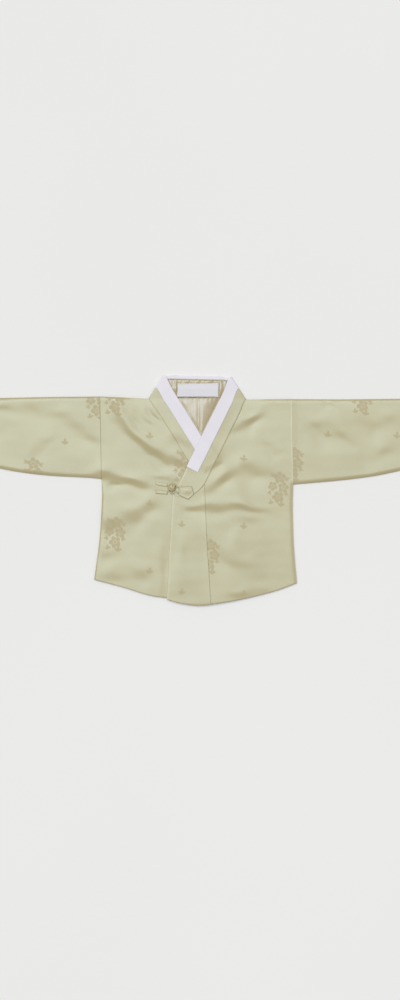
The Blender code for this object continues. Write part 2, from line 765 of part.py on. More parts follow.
def build_sleeve(name, table, outward, collection):
    """A tube from the armhole to the cuff, open at both ends, its walls a millimetre thick."""
    tops = smooth_curve([Vector((row.x_top, row.y_top)) for row in table], SLEEVE_STATIONS)
    lows = smooth_curve([Vector((row.x_low, row.y_low)) for row in table], SLEEVE_STATIONS)
    tops[0].x += outward * SEAM
    lows[0].x += outward * SEAM
    work = bmesh.new()
    walls = []
    for inset in (0.0, WALL):
        rings = [sleeve_ring(top, low, inset) for top, low in zip(tops, lows)]
        walls.append([[work.verts.new(point) for point in ring] for ring in rings])
    for wall in walls:
        for first, second in zip(wall, wall[1:]):
            bridge(work, first, second)
    for end in (0, -1):
        bridge(work, walls[0][end], walls[1][end])
    write_mesh(name, work, SATIN, collection)


def tucked_edge(run, y, tuck):
    """X of a run's upper edge at a level of Y, moved under the run by a tuck."""
    down = (run.top.y - y) / -run.direction.y
    return run.top.x + run.direction.x * down - tuck * run.across.x / run.direction.y


def build_neck_lining(collection):
    """The back's lining inside the neck, gathered along the neck seam."""
    columns = GATHERS * GATHER_CELLS
    grid = []
    for row in range(LINING_ROWS + 1):
        y = LINING_FOOT + (LINING_TOP - LINING_FOOT) * row / LINING_ROWS
        start, end = tucked_edge(UNDER, y, LINING_TUCK), tucked_edge(OVER, y, LINING_TUCK)
        if end - start < LINING_TUCK:
            middle = (start + end) / 2.0
            start, end = middle - LINING_TUCK / 2.0, middle + LINING_TUCK / 2.0
        grid.append([Vector((start + (end - start) * cell / columns, y)) for cell in range(columns + 1)])
    first = grid[-1][0].x
    width = grid[-1][-1].x - first

    def underside(x, y):
        share = (x - first) / width
        fade = math.exp((y - LINING_TOP) / GATHER_REACH) * math.sin(math.pi * min(max(share, 0.0), 1.0))
        wave = 0.5 - 0.5 * math.cos(2.0 * math.pi * GATHERS * share)
        return STEP_UP + GATHER_HEIGHT * wave * fade

    cloth_sheet("neck_lining", grid, underside, WALL, LINING, collection)


def facing_height(x, y):
    """Underside of what lies on the band's inner face at the back."""
    part = back_part(x, 0.5)
    top, foot = back_place(part, 0.0).y, back_place(part, 1.0).y
    return back_height((top - y) / (top - foot)) + WALL / 2.0 + GAP


def build_neck_facing(collection):
    """The band's gold facing, on its inner face between the strip's return and the neck seam."""
    columns, rows = FACING_CELLS
    first = (RETURN_WIDTH + STEP_UP) / BAND_WIDTH
    grid = []
    for row in range(rows + 1):
        share = 1.0 - (1.0 - first) * row / rows
        level = back_place(0.5, share).y
        ends = []
        for run in (UNDER, OVER):
            tucked = abs(tucked_edge(run, level, 0.0)) + FACING_TUCK
            fold = abs(axis_place(run, share).x) - 2.0 * STRIP_WALL
            ends.append(math.copysign(min(tucked, fold), run.top.x))
        xs = [ends[0] + (ends[1] - ends[0]) * column / columns for column in range(columns + 1)]
        grid.append([Vector((x, back_place(back_part(x, share), share).y)) for x in xs])
    cloth_sheet("neck_facing", grid, facing_height, WALL, LINING, collection)


def build_label(collection):
    grid = quad_grid(vectors(LABEL_CORNERS), *LABEL_CELLS)
    lift = STEP_UP + LABEL_CLEARANCE
    cloth_sheet("label", grid, lambda x, y: facing_height(x, y) + lift, WALL, LABEL, collection)


def build_knot(collection):
    rest = front_height(KNOT_CENTRE.x, KNOT_CENTRE.y) + WALL + GAP
    work = bmesh.new()
    around, upward = KNOT_SEGMENTS
    bmesh.ops.create_uvsphere(work, u_segments=around, v_segments=upward, radius=1.0)
    bmesh.ops.scale(work, vec=KNOT_RADII, verts=work.verts)
    centre = (KNOT_CENTRE.x, KNOT_CENTRE.y, rest + KNOT_RADII.z)
    bmesh.ops.translate(work, vec=centre, verts=work.verts)
    write_mesh("knot", work, SATIN, collection)


def build_knot_cords(collection):
    side = Vector((0.0, CORD_WIDTH / 2.0))
    for name, (tail_y, head_y) in (("knot_cord_upper", CORD_UPPER), ("knot_cord_lower", CORD_LOWER)):
        tail = Vector((CORD_TAIL_X, tail_y))
        head = Vector((CORD_HEAD_X, head_y))
        grid = quad_grid([tail - side, head - side, head + side, tail + side], *CORD_CELLS)
        cloth_sheet(name, grid, lambda x, y: front_height(x, y) + STEP_UP, CORD_HEIGHT, SATIN, collection)


def loop_height(x, y):
    """Height of the loop's middle: on the right front, climbing onto the left front's edge."""
    climb = STEP_UP * smoothstep(*LAP_CLIMB, x)
    return front_height(x, y) + STEP_UP + climb + LOOP_RADIUS + LOOP_CLEARANCE


def build_button_loop(collection):
    turn = 2.0 * math.pi - 2.0 * LOOP_OPENING
    route = [Vector((LOOP_TAB_X, LOOP_TAB_Y[0]))]
    for index in range(LOOP_POINTS):
        angle = LOOP_OPENING + turn * index / (LOOP_POINTS - 1)
        around = Vector((LOOP_RADII[0] * math.cos(angle), LOOP_RADII[1] * math.sin(angle)))
        route.append(Vector(KNOT_CENTRE) + around)
    route.append(Vector((LOOP_TAB_X, LOOP_TAB_Y[1])))
    curve = bpy.data.curves.new("button_loop_route", "CURVE")
    curve.dimensions = "3D"
    curve.bevel_depth = LOOP_RADIUS * MM
    curve.bevel_resolution = 2
    curve.use_fill_caps = True
    spline = curve.splines.new("POLY")
    spline.points.add(len(route) - 1)
    for point, place in zip(spline.points, route):
        height = loop_height(place.x, place.y)
        point.co = (place.x * MM, place.y * MM, height * MM, 1.0)
    new_object("button_loop", curve, SATIN, collection)


def build_loop_tab(collection):
    foot, tip, far, top_right, top_left = vectors(TAB_CORNERS)
    left = evenly([foot, top_left], TAB_CELLS)
    right = evenly([tip, far], TAB_CELLS // 2) + evenly([far, top_right], TAB_CELLS // 2)[1:]
    bottom, top = evenly([foot, tip], TAB_CELLS), evenly([top_left, top_right], TAB_CELLS)
    grid = patch(bottom, top, left, right)
    cloth_sheet("loop_tab", grid, lambda x, y: over_height(x, y) + STEP_UP, TAB_WALL, SATIN, collection)


def main():
    clear_scene()
    jacket = bpy.data.collections.new("jeogori")
    bpy.context.scene.collection.children.link(jacket)
    build_backs(jacket)
    build_front_right(jacket)
    build_inner_lap(jacket)
    build_front_left(jacket)
    build_outer_lap(jacket)
    build_sleeve("sleeve_right", RIGHT_SLEEVE, -1.0, jacket)
    build_sleeve("sleeve_left", LEFT_SLEEVE, 1.0, jacket)
    build_collar_band(jacket)
    build_collar_strip(jacket)
    build_neck_lining(jacket)
    build_neck_facing(jacket)
    build_label(jacket)
    build_knot(jacket)
    build_knot_cords(jacket)
    build_button_loop(jacket)
    build_loop_tab(jacket)


if __name__ == "__main__":
    main()
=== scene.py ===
"""The looks of a first-birthday hanbok jeogori, laid flat and fastened, seen from above.

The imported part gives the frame. Each piece of cloth is made here as a finer shell on the form of
its solid: the same outlines and layers, with softer and deeper folds, rounded edges and seam
grooves. Sizes are in millimetres until a mesh is written. +X is the viewer's right, +Y runs from
the hem to the neck and +Z is up from the surface.
"""

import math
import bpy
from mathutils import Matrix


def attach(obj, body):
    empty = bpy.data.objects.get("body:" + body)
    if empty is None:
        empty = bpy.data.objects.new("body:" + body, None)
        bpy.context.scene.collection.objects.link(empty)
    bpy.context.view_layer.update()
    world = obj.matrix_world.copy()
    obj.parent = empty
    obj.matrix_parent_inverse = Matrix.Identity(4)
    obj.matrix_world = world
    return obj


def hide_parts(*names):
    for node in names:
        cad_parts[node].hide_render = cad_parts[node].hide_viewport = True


bl_info = {
    "name": "Hanbok Jeogori",
    "version": (1, 0, 0),
    "blender": (4, 5, 0),
    "location": "3D View > Sidebar > Jeogori",
    "description": "Dresses a packed child's jeogori in satin, lining, trim and studio light",
    "category": "Object",
}

from collections import namedtuple

import bmesh
import bpy
import numpy as np
from mathutils import Vector

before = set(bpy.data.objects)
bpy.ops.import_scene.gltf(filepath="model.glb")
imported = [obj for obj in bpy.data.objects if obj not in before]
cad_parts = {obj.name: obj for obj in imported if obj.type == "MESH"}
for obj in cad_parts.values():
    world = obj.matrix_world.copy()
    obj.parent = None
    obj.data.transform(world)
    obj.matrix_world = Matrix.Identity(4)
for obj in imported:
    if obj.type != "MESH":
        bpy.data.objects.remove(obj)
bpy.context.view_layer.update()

MM = 0.001

# Cloth
WALL = 1.0
GAP = 0.3
STEP_UP = WALL + GAP
SEAM = 0.05
# Rounded edges: how far each reaches in from its rim, and how deep it falls there
SEAM_EDGE = (0.3, 0.22)
FINE_EDGE = (0.15, 0.1)
FREE_EDGE = (2.4, 0.7)
SOFT_EDGE = (0.9, 0.5)
HEM_EDGE = (1.0, 0.55)
SEAM_LIFT = 0.35
SEAM_LIFT_REACH = 5.0
# A panel's gap to the band, beside its over run and beside its under run
BAND_GAPS = (0.12, 0.02)
LAP_CLEARANCE = 0.3
PUFF_REACH = 5.5
# How far the puff takes to rise below the shoulder, away from the neck and beside it
SHOULDER_REACH = (6.0, 26.0)
# X between which the neck gives way to the sleeve
NECK_SPAN = (75.0, 112.0)
HEM_PUFF = 0.85
LEAST_PUFF = 0.25
HIDDEN_FLATTER = 0.35
# X between which the right front turns flatter under the left one
HIDDEN_FROM = (-25.0, 10.0)
UNDER_MARGIN = 25.0
INNER_MARGIN = 70.0
STRIP_MARGIN = 10.0
INNER_EDGE_SPARE = 3.0
CURVE_STEPS = 16
HIDDEN_CELLS = 1.5
END_ROUNDING = 0.4
RIM_STEPS = (0.0, 0.08, 0.22, 0.5, 1.0, 1.8)
FADE = 0.35
CREASE_MARGIN = 3.0
# A fold's depth varies by a share, over lengths along X and along Y
CREASE_FLUTTER = (0.2, 7.0, 11.0)
# A fold's width varies by a share, in a number of half turns along it
CREASE_SWING = (0.30, 3.0)
# Reach, length and phase of a move along X and of one along Y
WANDER = ((1.2, 17.0, 1.0), (1.3, 19.0, 0.5))
# Reach of the same moves aslant, and their two lengths
WANDER_ASLANT = (0.8, 9.0, 8.0)
FOLD_HOLD = 0.3
LOWER_RIM = 0.5
# The crest beside a rolled rim: how far in it lies, and its width
ROLL_AT = (1.3, 0.7)
ROLL_START = 0.3
STEP_PEAK = math.sqrt(2.0 * math.e)
# Painted highlight along some edges: how far in it reaches, and its colour
EDGE_HIGHLIGHT_REACH = 1.2
EDGE_HIGHLIGHT_COLOUR = (0.62, 0.55, 0.37, 1.0)

# Collar band and white strip
BAND_WIDTH = 36.0
STRIP_SHARE = 0.528
STRIP_LENGTH = 150.6
STRIP_WALL = 1.0
RETURN_WIDTH = 5.0
ROUND_START = 158.0
ROUND_REACH = 40.0
ROUND_SPAN = 39.0
SQUARE_AT = 60.0
SET_IN_AT = 30.0
LIP_AT = 4.0
LIP_LIFT = 0.6
LIP_SLOPE = 0.1
LINING_LIFT = STEP_UP
# Distances down the under run between which the lining below it ends
LINING_ENDS = (130.0, 160.0)
FOLD_LIFT = 4.5
FOLD_LIFT_REACH = 28.0
CROSSING_LIFT = 3.0 * STEP_UP
# Distances down the over run to the end of the crossing and to where it lies flat
CROSSING = (70.0, 100.0)
BACK_RISE = 1.8
BACK_CELLS = 9
# Shares of the band's width between which it steps down beside the strip
BACK_STEP = (0.55, 0.90)

LEFT_FOLD = ((51.2, 170.4), (73.5, 136.2))
RIGHT_FOLD = ((-50.4, 172.8), (-72.8, 137.5))
OVER_DIRECTION = (-0.444, -0.896)
UNDER_DIRECTION = (0.528, -0.849)
BAND_CELLS = 16
# Radii of the corners of the band's section, in turn
BAND_RADII = (0.9, 0.25, 0.25, 0.3)
# How much the over run and the under run stand up beside their seams
SEAM_STANDS = (1.0, 0.15)
STRIP_CELLS = 8
# Radii of the corners of the strip's section, in turn
STRIP_RADII = (0.35, 0.5, 0.3, 0.1, 0.05, 0.15)
STRIP_SHARP = math.radians(50.0)
ROUNDED_STATIONS = 28
FOLD_STEP = 12.0

# Outlines, from the hem up
RIGHT_SIDE = ((-154.2, -134.0), (-146.2, -73.2), (-142.4, -12.0), (-143.2, 16.8))
LEFT_SIDE = ((150.0, -139.1), (145.3, -87.3), (143.4, -28.0), (144.0, 8.6))
RIGHT_SHOULDER = ((-145.5, 140.5), (-73.2, 138.2))
LEFT_SHOULDER = ((142.5, 136.5), (73.8, 136.6))
RIGHT_HEM = ((-154.2, -134.0), (-111.7, -145.2), (-65.9, -158.6), (-18.0, -163.0))
LEFT_HEM = ((20.9, -171.2), (67.4, -163.2), (113.3, -152.1), (150.0, -139.1))
LAP_HEM = ((-45.3, -163.7), (-24.6, -169.5), (2.0, -172.8), (20.9, -171.2))
LAP_EDGE = ((-45.3, -163.7), (-41.1, -87.3), (-37.6, -24.0), (-36.7, -7.8))
LAP_SEAM = ((20.9, -171.2), (15.0, -75.9), (12.0, 7.0))
INNER_SEAM = ((-18.0, -163.0), (-13.9, 46.0))
INNER_EDGE = ((36.0, -163.5), (51.0, 0.0))
BACK_HEM = ((-153.6, -132.5), (-80.0, -150.0), (0.0, -156.5), (149.4, -137.5))
HEM_MIDDLE = 172.8
HEM_RISE = 33.0
HEM_SPAN = 150.0
SIDE_SPLIT = 0.58
SHOULDER_SPLIT = 0.5

# Sleeves, from the armhole to the cuff: upper edge, then lower edge
RIGHT_SLEEVE_TOP = (
    (-145.5, 140.5), (-167.0, 140.3), (-220.0, 139.8), (-261.0, 139.0), (-295.5, 138.2), (-355.5, 136.8),
)
RIGHT_SLEEVE_LOW = (
    (-143.2, 16.8), (-167.0, 19.0), (-220.0, 21.8), (-261.0, 26.4), (-295.5, 32.6), (-355.5, 46.8),
)
LEFT_SLEEVE_TOP = (
    (142.5, 136.5), (170.4, 136.4), (216.3, 136.2), (262.2, 136.6), (304.5, 137.1), (355.5, 137.5),
)
LEFT_SLEEVE_LOW = (
    (144.0, 8.6), (170.4, 10.8), (216.3, 14.9), (262.2, 20.7), (304.5, 29.4), (355.5, 42.3),
)

# The folds that the photo shows, each a soft step down to the right of its line, with a ridge above
# and a trough below: lift and half width in millimetres, whether both ends of it fade out or only
# its end, and the line
Crease = namedtuple("Crease", "lift width fade line")
CREASES = (
    Crease(1.10, 13.5, "end", ((-130.5, 132.3), (-121.5, 111.3), (-103.5, 87.3), (-82.5, 67.8),
                               (-55.5, 51.3), (-25.5, 39.0), (9.0, 24.0))),
    Crease(0.32, 4.5, "both", ((-91.5, 127.8), (-78.0, 108.3), (-58.5, 90.3))),
    Crease(0.32, 4.2, "both", ((-75.0, 132.3), (-66.0, 115.8), (-51.0, 97.8))),
    Crease(0.26, 4.5, "both", ((-109.5, 129.3), (-96.0, 112.8), (-76.5, 96.3))),
    Crease(0.15, 8.0, "both", ((-73.5, 93.3), (-52.5, 73.8), (-25.5, 52.8))),
    Crease(0.75, 13.0, "both", ((-50.0, 84.0), (-30.0, 76.0), (-8.0, 66.0), (14.0, 57.0))),
    Crease(0.48, 11.0, "both", ((-84.0, 62.0), (-48.0, 46.0), (-22.0, 37.0), (12.0, 24.0))),
    Crease(0.38, 8.0, "both", ((-78.0, 25.0), (-56.0, 18.5), (-36.0, 15.0), (-12.0, 10.0))),
    Crease(1.20, 11.0, "both", ((-178.5, 13.8), (-151.5, 19.8), (-127.5, 19.8), (-106.5, 15.3),
                                (-82.5, 9.3), (-43.5, -1.2))),
    Crease(0.30, 4.5, "both", ((-139.5, 6.3), (-121.5, 10.8), (-100.5, 6.3))),
    Crease(0.85, 17.0, "both", ((-169.5, -62.7), (-133.5, -52.2), (-97.5, -38.7), (-70.5, -23.7),
                                (-40.5, -10.2))),
    Crease(0.48, 19.0, "both", ((-163.5, -92.7), (-127.5, -94.2), (-88.5, -82.2))),
    Crease(0.42, 16.0, "both", ((-151.5, -137.7), (-118.5, -125.7), (-82.5, -125.7), (-52.5, -115.2))),
    Crease(0.26, 8.0, "both", ((-51.0, -182.7), (-52.5, -142.2), (-49.5, -97.2), (-46.5, -56.7))),
    Crease(0.80, 10.5, "both", ((43.5, 85.8), (66.0, 94.8), (85.5, 103.8), (112.5, 121.8))),
    Crease(0.85, 14.5, "both", ((4.5, -14.7), (24.0, 4.8), (46.5, 21.3), (73.5, 30.3), (106.5, 25.8),
                                (142.5, 9.3))),
    Crease(0.78, 9.5, "both", ((-34.5, -27.5), (-7.5, -27.5), (19.5, -26.0), (49.5, -24.5),
                               (85.5, -30.0), (130.5, -38.7))),
    Crease(0.35, 18.0, "both", ((19.5, -44.7), (58.5, -40.2), (106.5, -50.7))),
    Crease(0.50, 19.0, "both", ((13.5, -65.7), (43.5, -97.2), (76.5, -121.2), (127.5, -140.7))),
    Crease(0.30, 9.0, "both", ((34.5, -152.7), (73.5, -158.7), (121.5, -146.7))),
    Crease(0.22, 9.0, "both", ((97.5, 75.3), (115.5, 63.3), (136.5, 57.3))),
    Crease(0.45, 14.0, "both", ((-349.5, 118.8), (-307.5, 121.8), (-265.5, 123.3), (-226.5, 121.8),
                                (-202.5, 115.8))),
    Crease(0.72, 16.0, "both", ((-229.5, 118.8), (-205.5, 111.3), (-178.5, 94.8), (-154.5, 75.3),
                                (-130.5, 57.3))),
    Crease(0.26, 10.0, "both", ((-262.5, 42.3), (-244.5, 57.3), (-229.5, 72.3), (-208.5, 81.3))),
    Crease(0.30, 14.0, "both", ((-355.5, 72.3), (-328.5, 84.3), (-295.5, 96.3), (-259.5, 96.3))),
    Crease(0.66, 16.0, "both", ((160.5, 105.3), (187.5, 93.3), (214.5, 79.8), (250.5, 63.3))),
    Crease(0.62, 24.0, "both", ((202.5, 90.3), (247.5, 99.3), (286.5, 102.3), (340.5, 93.3))),
    Crease(0.28, 5.0, "both", ((187.5, 138.3), (202.5, 127.8), (217.5, 115.8))),
    Crease(0.30, 18.0, "both", ((208.5, 39.3), (247.5, 49.8), (286.5, 60.3), (322.5, 69.3))),
    Crease(0.30, 13.0, "both", ((-31.5, -44.7), (-28.5, -82.2), (-34.5, -127.2), (-40.5, -164.7))),
)
# Height, length, heading and phase of each ripple
RIPPLES = (
    (0.090, 74.0, 1.3, 0.4), (0.060, 52.0, 1.9, 2.1), (0.035, 33.0, 0.9, 4.0), (0.016, 17.0, 1.5, 1.2),
)

# Neck lining, facing and label
LINING_TUCK = 8.0
LINING_TOP = 138.2
LINING_FOOT = 66.0
GATHERS = 11
GATHER_HEIGHT = 0.35
GATHER_REACH = 4.0
# Slopes by which the lining rises from its left and from its right side
TENT_SLOPES = (0.10, 0.16)
TENT_HEIGHT = 2.4
LINING_WIDTH = 76.0
LINING_ROWS = 64
LINING_FREE = 5.0
# Waves that sway the gathers: reach, and lengths along X and along Y
LINING_SWAY = ((1.6, math.inf, 9.0), (1.1, 7.0, 15.0))
GATHER_PHASE = 0.8
# The lining's soft folds: height, length, slant and start
SOFT_WAVE = (0.35, 5.0, 0.5, 30.0)
# Distances below the neck seam between which the soft folds set in
SOFT_WAVE_FROM = (1.0, 10.0)
LINING_SEAM_X = -0.6
# Height of the ridge beside the centre seam, its distance from the seam and its width
LINING_RIDGE = (0.40, 2.6, 2.0)
# Depth and width of the centre seam's groove
LINING_GROOVE = (0.35, 0.7)
# Cell sizes of the lining and of the facing
NECK_CELLS = (0.9, 0.8)
FACING_WIDTH = 98.0
FACING_ROWS = 26
# Waves that sway the pleats: reach, and lengths along X and along Y
FACING_SWAY = ((0.9, 5.3, math.inf), (0.8, 11.0, 4.0))
FACING_TUCK = 5.0
FACING_FOOT = 0.935
# Distances from the facing's sides between which its pleats rise
FACING_FREE = (0.5, 4.0)
PLEAT_HEIGHT = 0.8
# Shares of the fine pleats and of the broad ones
PLEAT_SHARES = (0.45, 0.75)
# Turn of the fine pleats a millimetre, and length and phase of the broad ones
PLEAT_TURNS = (0.75, 2.6, 0.6)
LABEL_MARGIN = 1.5
LABEL_CLEARANCE = 0.2
LABEL_CORNERS = ((-30.0, 140.0), (31.8, 140.0), (32.6, 160.7), (-28.2, 158.1))
LABEL_CELL = 0.8
LABEL_ROLL = 0.12
# The label's unevenness: height, length and phase along X, and length along Y
LABEL_WAVE = (0.12, 8.0, 1.0, 9.0)
STITCH_INSET = 1.1
STITCH_LENGTH = 1.5
STITCH_RADIUS = 0.16
STITCH_SIDES = 6

# Knot button, its cords, its loop and the loop's tab
KNOT_CENTRE = (-37.6, 4.0)
KNOT_RADII = (5.3, 6.4, 4.2)
KNOT_LEADS = 3
KNOT_BIGHTS = 4
# Half width and half height of the knot's cord
STRAND = (1.95, 1.15)
STRAND_POINTS = 260
STRAND_SIDES = 12
STRAND_WEAVE = 0.081
KNOT_LATITUDE = math.radians(56.0)
KNOT_CORE = 0.9
# Cells of the core, round it and from pole to pole
CORE_CELLS = (24, 14)
CORD_WIDTH = 5.0
# Heights of the upper and of the lower tail
CORD_HEIGHTS = (0.9, 1.6)
CORD_EDGE = 1.2
CORD_CELL = 0.6
CORD_ROLL = 0.15
CORD_TAIL_X = -62.0
CORD_HEAD_X = -44.4
# Y of the upper and of the lower tail, first at its end and then at the knot
CORD_UPPER = (10.6, 7.4)
CORD_LOWER = (-2.4, -4.0)
LOOP_RADIUS = 1.0
LOOP_SIDES = 14
# The loop's middle from the knot's, and its radii along X and along Y
LOOP_SHIFT = (0.7, -1.2)
LOOP_RADII = (6.3, 7.3)
LOOP_OPENING = math.radians(42.0)
LOOP_TAB_X = -27.9
LOOP_TAB_Y = (3.2, -4.4)
LOOP_CLEARANCE = 0.3
# X between which the loop climbs on the lap
LAP_CLIMB = (-41.5, -35.8)
TAB_WALL = 1.5
TAB_CROWN = 0.5
# Middle of the tab's crown, and its reach along X and along Y
TAB_MIDDLE = (-14.5, -0.5)
TAB_CROWN_REACH = (7.0, 5.0)
TAB_CELL = 0.7
TAB_ROLL = 0.3
TAB_CORNERS = ((-27.4, -7.6), (-13.0, -14.1), (-4.2, -5.7), (-8.0, 5.6), (-26.7, 6.2))

# The woven repeat: half its width and height, and the flowers and leaves of one cluster
HALF_REPEAT = (103.5, 101.25)
Figure = namedtuple("Figure", "kind x y size angle")
CLUSTER = (
    Figure("blossom", 2.5, 23.0, 9.2, 20.0),
    Figure("blossom", -8.0, 10.0, 7.2, 50.0),
    Figure("blossom", 8.0, 8.0, 8.4, 5.0),
    Figure("blossom", 0.0, -6.0, 9.0, 40.0),
    Figure("spray", -8.0, 25.5, 5.6, 120.0),
    Figure("spray", 12.0, 20.0, 6.0, 25.0),
    Figure("spray", -11.5, 0.5, 5.4, 190.0),
    Figure("spray", 11.0, -1.0, 5.4, -20.0),
    Figure("spray", -10.5, -15.5, 6.2, 100.0),
    Figure("spray", 4.5, -18.5, 8.0, 85.0),
)
SPRIG = (Figure("spray", 0.0, -1.0, 8.0, 82.0),)
# Where a cluster's middle falls on each panel, and how far its cloth is turned
Cut = namedtuple("Cut", "x y turn")
CUTS = {
    "front_right": Cut(-123.0, -71.7, 0.0),
    "front_left": Cut(121.5, -4.2, 0.0),
    "outer_lap": Cut(28.5, -1.6, 0.0),
    "inner_lap": Cut(10.0, -60.0, 0.0),
    "sleeve_right": Cut(-246.0, 16.8, 4.3),
    "sleeve_left": Cut(248.2, 132.3, -0.8),
    "back_right": Cut(-60.0, -20.0, 0.0),
    "back_left": Cut(90.0, 30.0, 0.0),
    "plain": Cut(0.0, 0.0, 0.0),
}

# Camera, straight above the middle of the photo
VIEW_CENTRE = (4.5, -14.7)
VIEW_HEIGHT = 1500.0
SENSOR = 36.0
KEY_FROM = (-0.18, 0.28, 1.0)
FLOOR_SIZE = 9000.0
FLOOR_DROP = 0.3

# Finishes, as sockets of their shaders
SATIN_GLOSS = {
    "IOR": 1.75,
    "Specular IOR Level": 0.63,
    "Specular Tint": (0.76, 1.0, 0.99, 1.0),
    "Sheen Weight": 0.05,
    "Sheen Roughness": 0.45,
    "Sheen Tint": (0.93, 1.0, 0.86, 1.0),
}
LINING_GLOSS = {
    "IOR": 1.75,
    "Specular IOR Level": 0.75,
    "Specular Tint": (0.72, 0.84, 1.0, 1.0),
}
# How often the noise of threads changes a metre along each axis
WARP_STRETCH = (2600.0, 160.0, 900.0)
WEFT_STRETCH = (240.0, 1900.0, 900.0)
LINING_STRETCH = (2200.0, 120.0, 700.0)
# Least and most roughness, and the relief's depth in millimetres and its strength
SATIN_ROUGHNESS = (0.33, 0.39)
SATIN_RELIEF = (0.06, 0.35)
LINING_ROUGHNESS = (0.26, 0.34)
LINING_RELIEF = (0.05, 0.3)
WEFT_RELIEF = 0.6
FIGURE_RELIEF = -0.9
FIGURE_ROUGHNESS = 0.24
STITCH_COLOUR = (0.72, 0.72, 0.74)
CORD_LIGHTNESS = 1.05
PETALS = 5
# Plain weaves: roughness, distance between threads in millimetres, relief, gloss and sheen
Weave = namedtuple("Weave", "roughness pitch relief gloss sheen")
STRIP_WEAVE = Weave(0.72, 0.35, 0.25, 0.3, 0.1)
LABEL_WEAVE = Weave(0.55, 0.4, 0.5, 0.4, 0.1)
THREAD_WEAVE = Weave(0.5, 0.3, 0.6, 0.4, 0.2)
WEAVE_DEPTH = 0.08
WEAVE_UNEVENNESS = 0.05


def smoothstep(low, high, value):
    share = np.clip((value - low) / (high - low), 0.0, 1.0)
    return share * share * (3.0 - 2.0 * share)


def saturate(distance, reach=PUFF_REACH):
    return 1.0 - (1.0 - np.clip(distance / reach, 0.0, 1.0)) ** 3


def unit(vector):
    return np.asarray(vector, float) / np.linalg.norm(vector)


def spline(points):
    """A smooth curve through the points, as a dense polyline."""
    given = np.asarray(points, float)
    given = np.vstack((2.0 * given[0] - given[1], given, 2.0 * given[-1] - given[-2]))
    t = np.linspace(0.0, 1.0, CURVE_STEPS, endpoint=False)[:, None]
    legs = []
    for before, start, end, after in zip(given, given[1:], given[2:], given[3:]):
        legs.append(0.5 * (2.0 * start + (end - before) * t
                           + (2.0 * before - 5.0 * start + 4.0 * end - after) * t ** 2
                           + (3.0 * start - before - 3.0 * end + after) * t ** 3))
    return np.vstack(legs + [given[-2:-1]])


def travelled(route):
    """How far along a polyline each of its points lies."""
    return np.concatenate(((0.0,), np.cumsum(np.linalg.norm(np.diff(route, axis=0), axis=1))))


def places(route, shares):
    """Points of a polyline at shares of its length."""
    lengths = travelled(route)
    return np.stack([np.interp(shares * lengths[-1], lengths, route[:, axis])
                     for axis in range(route.shape[1])], -1)


def read_line(points, value, of, to):
    """Reads one coordinate of a polyline as a function of another, held past its ends."""
    rows = sorted(points, key=lambda row: row[of])
    return np.interp(value, [row[of] for row in rows], [row[to] for row in rows])


def spread(length, cell):
    """Shares of a length, closer together at both rims."""
    rim = np.array(RIM_STEPS)
    inner = np.arange(1, max(int((length - 2.0 * rim[-1]) / cell), 2))
    step = (length - 2.0 * rim[-1]) / (len(inner) + 1)
    whole = np.concatenate((rim, rim[-1] + inner * step, length - rim[::-1]))
    return whole / length


def edge_points(legs, shares, split):
    """Points of an edge of one or two legs, the second of which starts at the split."""
    if len(legs) == 1:
        return places(legs[0], shares)
    first = places(legs[0], np.clip(shares / split, 0.0, 1.0))
    second = places(legs[1], np.clip((shares - split) / (1.0 - split), 0.0, 1.0))
    return np.where(shares[:, None] <= split, first, second)


def edge_length(legs):
    return sum(travelled(leg)[-1] for leg in legs)


def panel_grid(bottom, top, left, right, cell):
    """Points between four edges, rows from bottom to top, and each point's distance to a rim."""
    us = spread((edge_length(bottom) + edge_length(top)) / 2.0, cell)
    vs = spread((edge_length(left) + edge_length(right)) / 2.0, cell)
    for shares, split, edges in ((us, SHOULDER_SPLIT, (bottom, top)), (vs, SIDE_SPLIT, (left, right))):
        if max(len(legs) for legs in edges) > 1:
            shares[np.argmin(np.abs(shares - split))] = split
    low, high = edge_points(bottom, us, SHOULDER_SPLIT), edge_points(top, us, SHOULDER_SPLIT)
    start, end = edge_points(left, vs, SIDE_SPLIT), edge_points(right, vs, SIDE_SPLIT)
    u, v = us[None, :, None], vs[:, None, None]
    corners = (low[0] * (1 - u) + low[-1] * u) * (1 - v) + (high[0] * (1 - u) + high[-1] * u) * v
    grid = start[:, None] * (1 - u) + end[:, None] * u + low[None] * (1 - v) + high[None] * v - corners
    across = np.linalg.norm(end - start, axis=1)[:, None]
    upward = np.linalg.norm(high - low, axis=1)[None, :]
    rims = (us[None] * across, (1 - us[None]) * across, vs[:, None] * upward, (1 - vs[:, None]) * upward)
    return grid, rims


def shoulder_height(x):
    points = RIGHT_SLEEVE_TOP + RIGHT_SHOULDER[1:] + LEFT_SHOULDER[1:] + LEFT_SLEEVE_TOP
    return read_line(points, x, 0, 1)


def lower_distance(x, y):
    """Distance from places to the closed edge below or beside them, on their own side."""
    result = np.zeros_like(x)
    halves = ((x < 0.0, RIGHT_SIDE, RIGHT_SLEEVE_LOW), (x >= 0.0, LEFT_SIDE, LEFT_SLEEVE_LOW))
    for half, side, sleeve in halves:
        arm_x, arm_y = side[-1]
        body = np.abs(read_line(side, y, 1, 0)) - np.abs(x)
        corner = np.hypot(x - arm_x, y - arm_y)
        value = np.where(y > arm_y, corner, body)
        beyond = (np.abs(x) >= abs(arm_x)) & (y > arm_y - 1.0)
        value = np.where(beyond, y - read_line(sleeve, x, 0, 1), value)
        result = np.where(half, value, result)
    return result


def wander(x, y):
    """Places moved a little to and fro, so that no fold runs as an even line."""
    (reach_x, length_x, phase_x), (reach_y, length_y, phase_y) = WANDER
    slant, rising, falling = WANDER_ASLANT
    shift_x = reach_x * np.sin(y / length_x + phase_x) + slant * np.sin((x + y) / rising)
    shift_y = reach_y * np.sin(x / length_y + phase_y) + slant * np.sin((x - y) / falling)
    return x + shift_x, y + shift_y


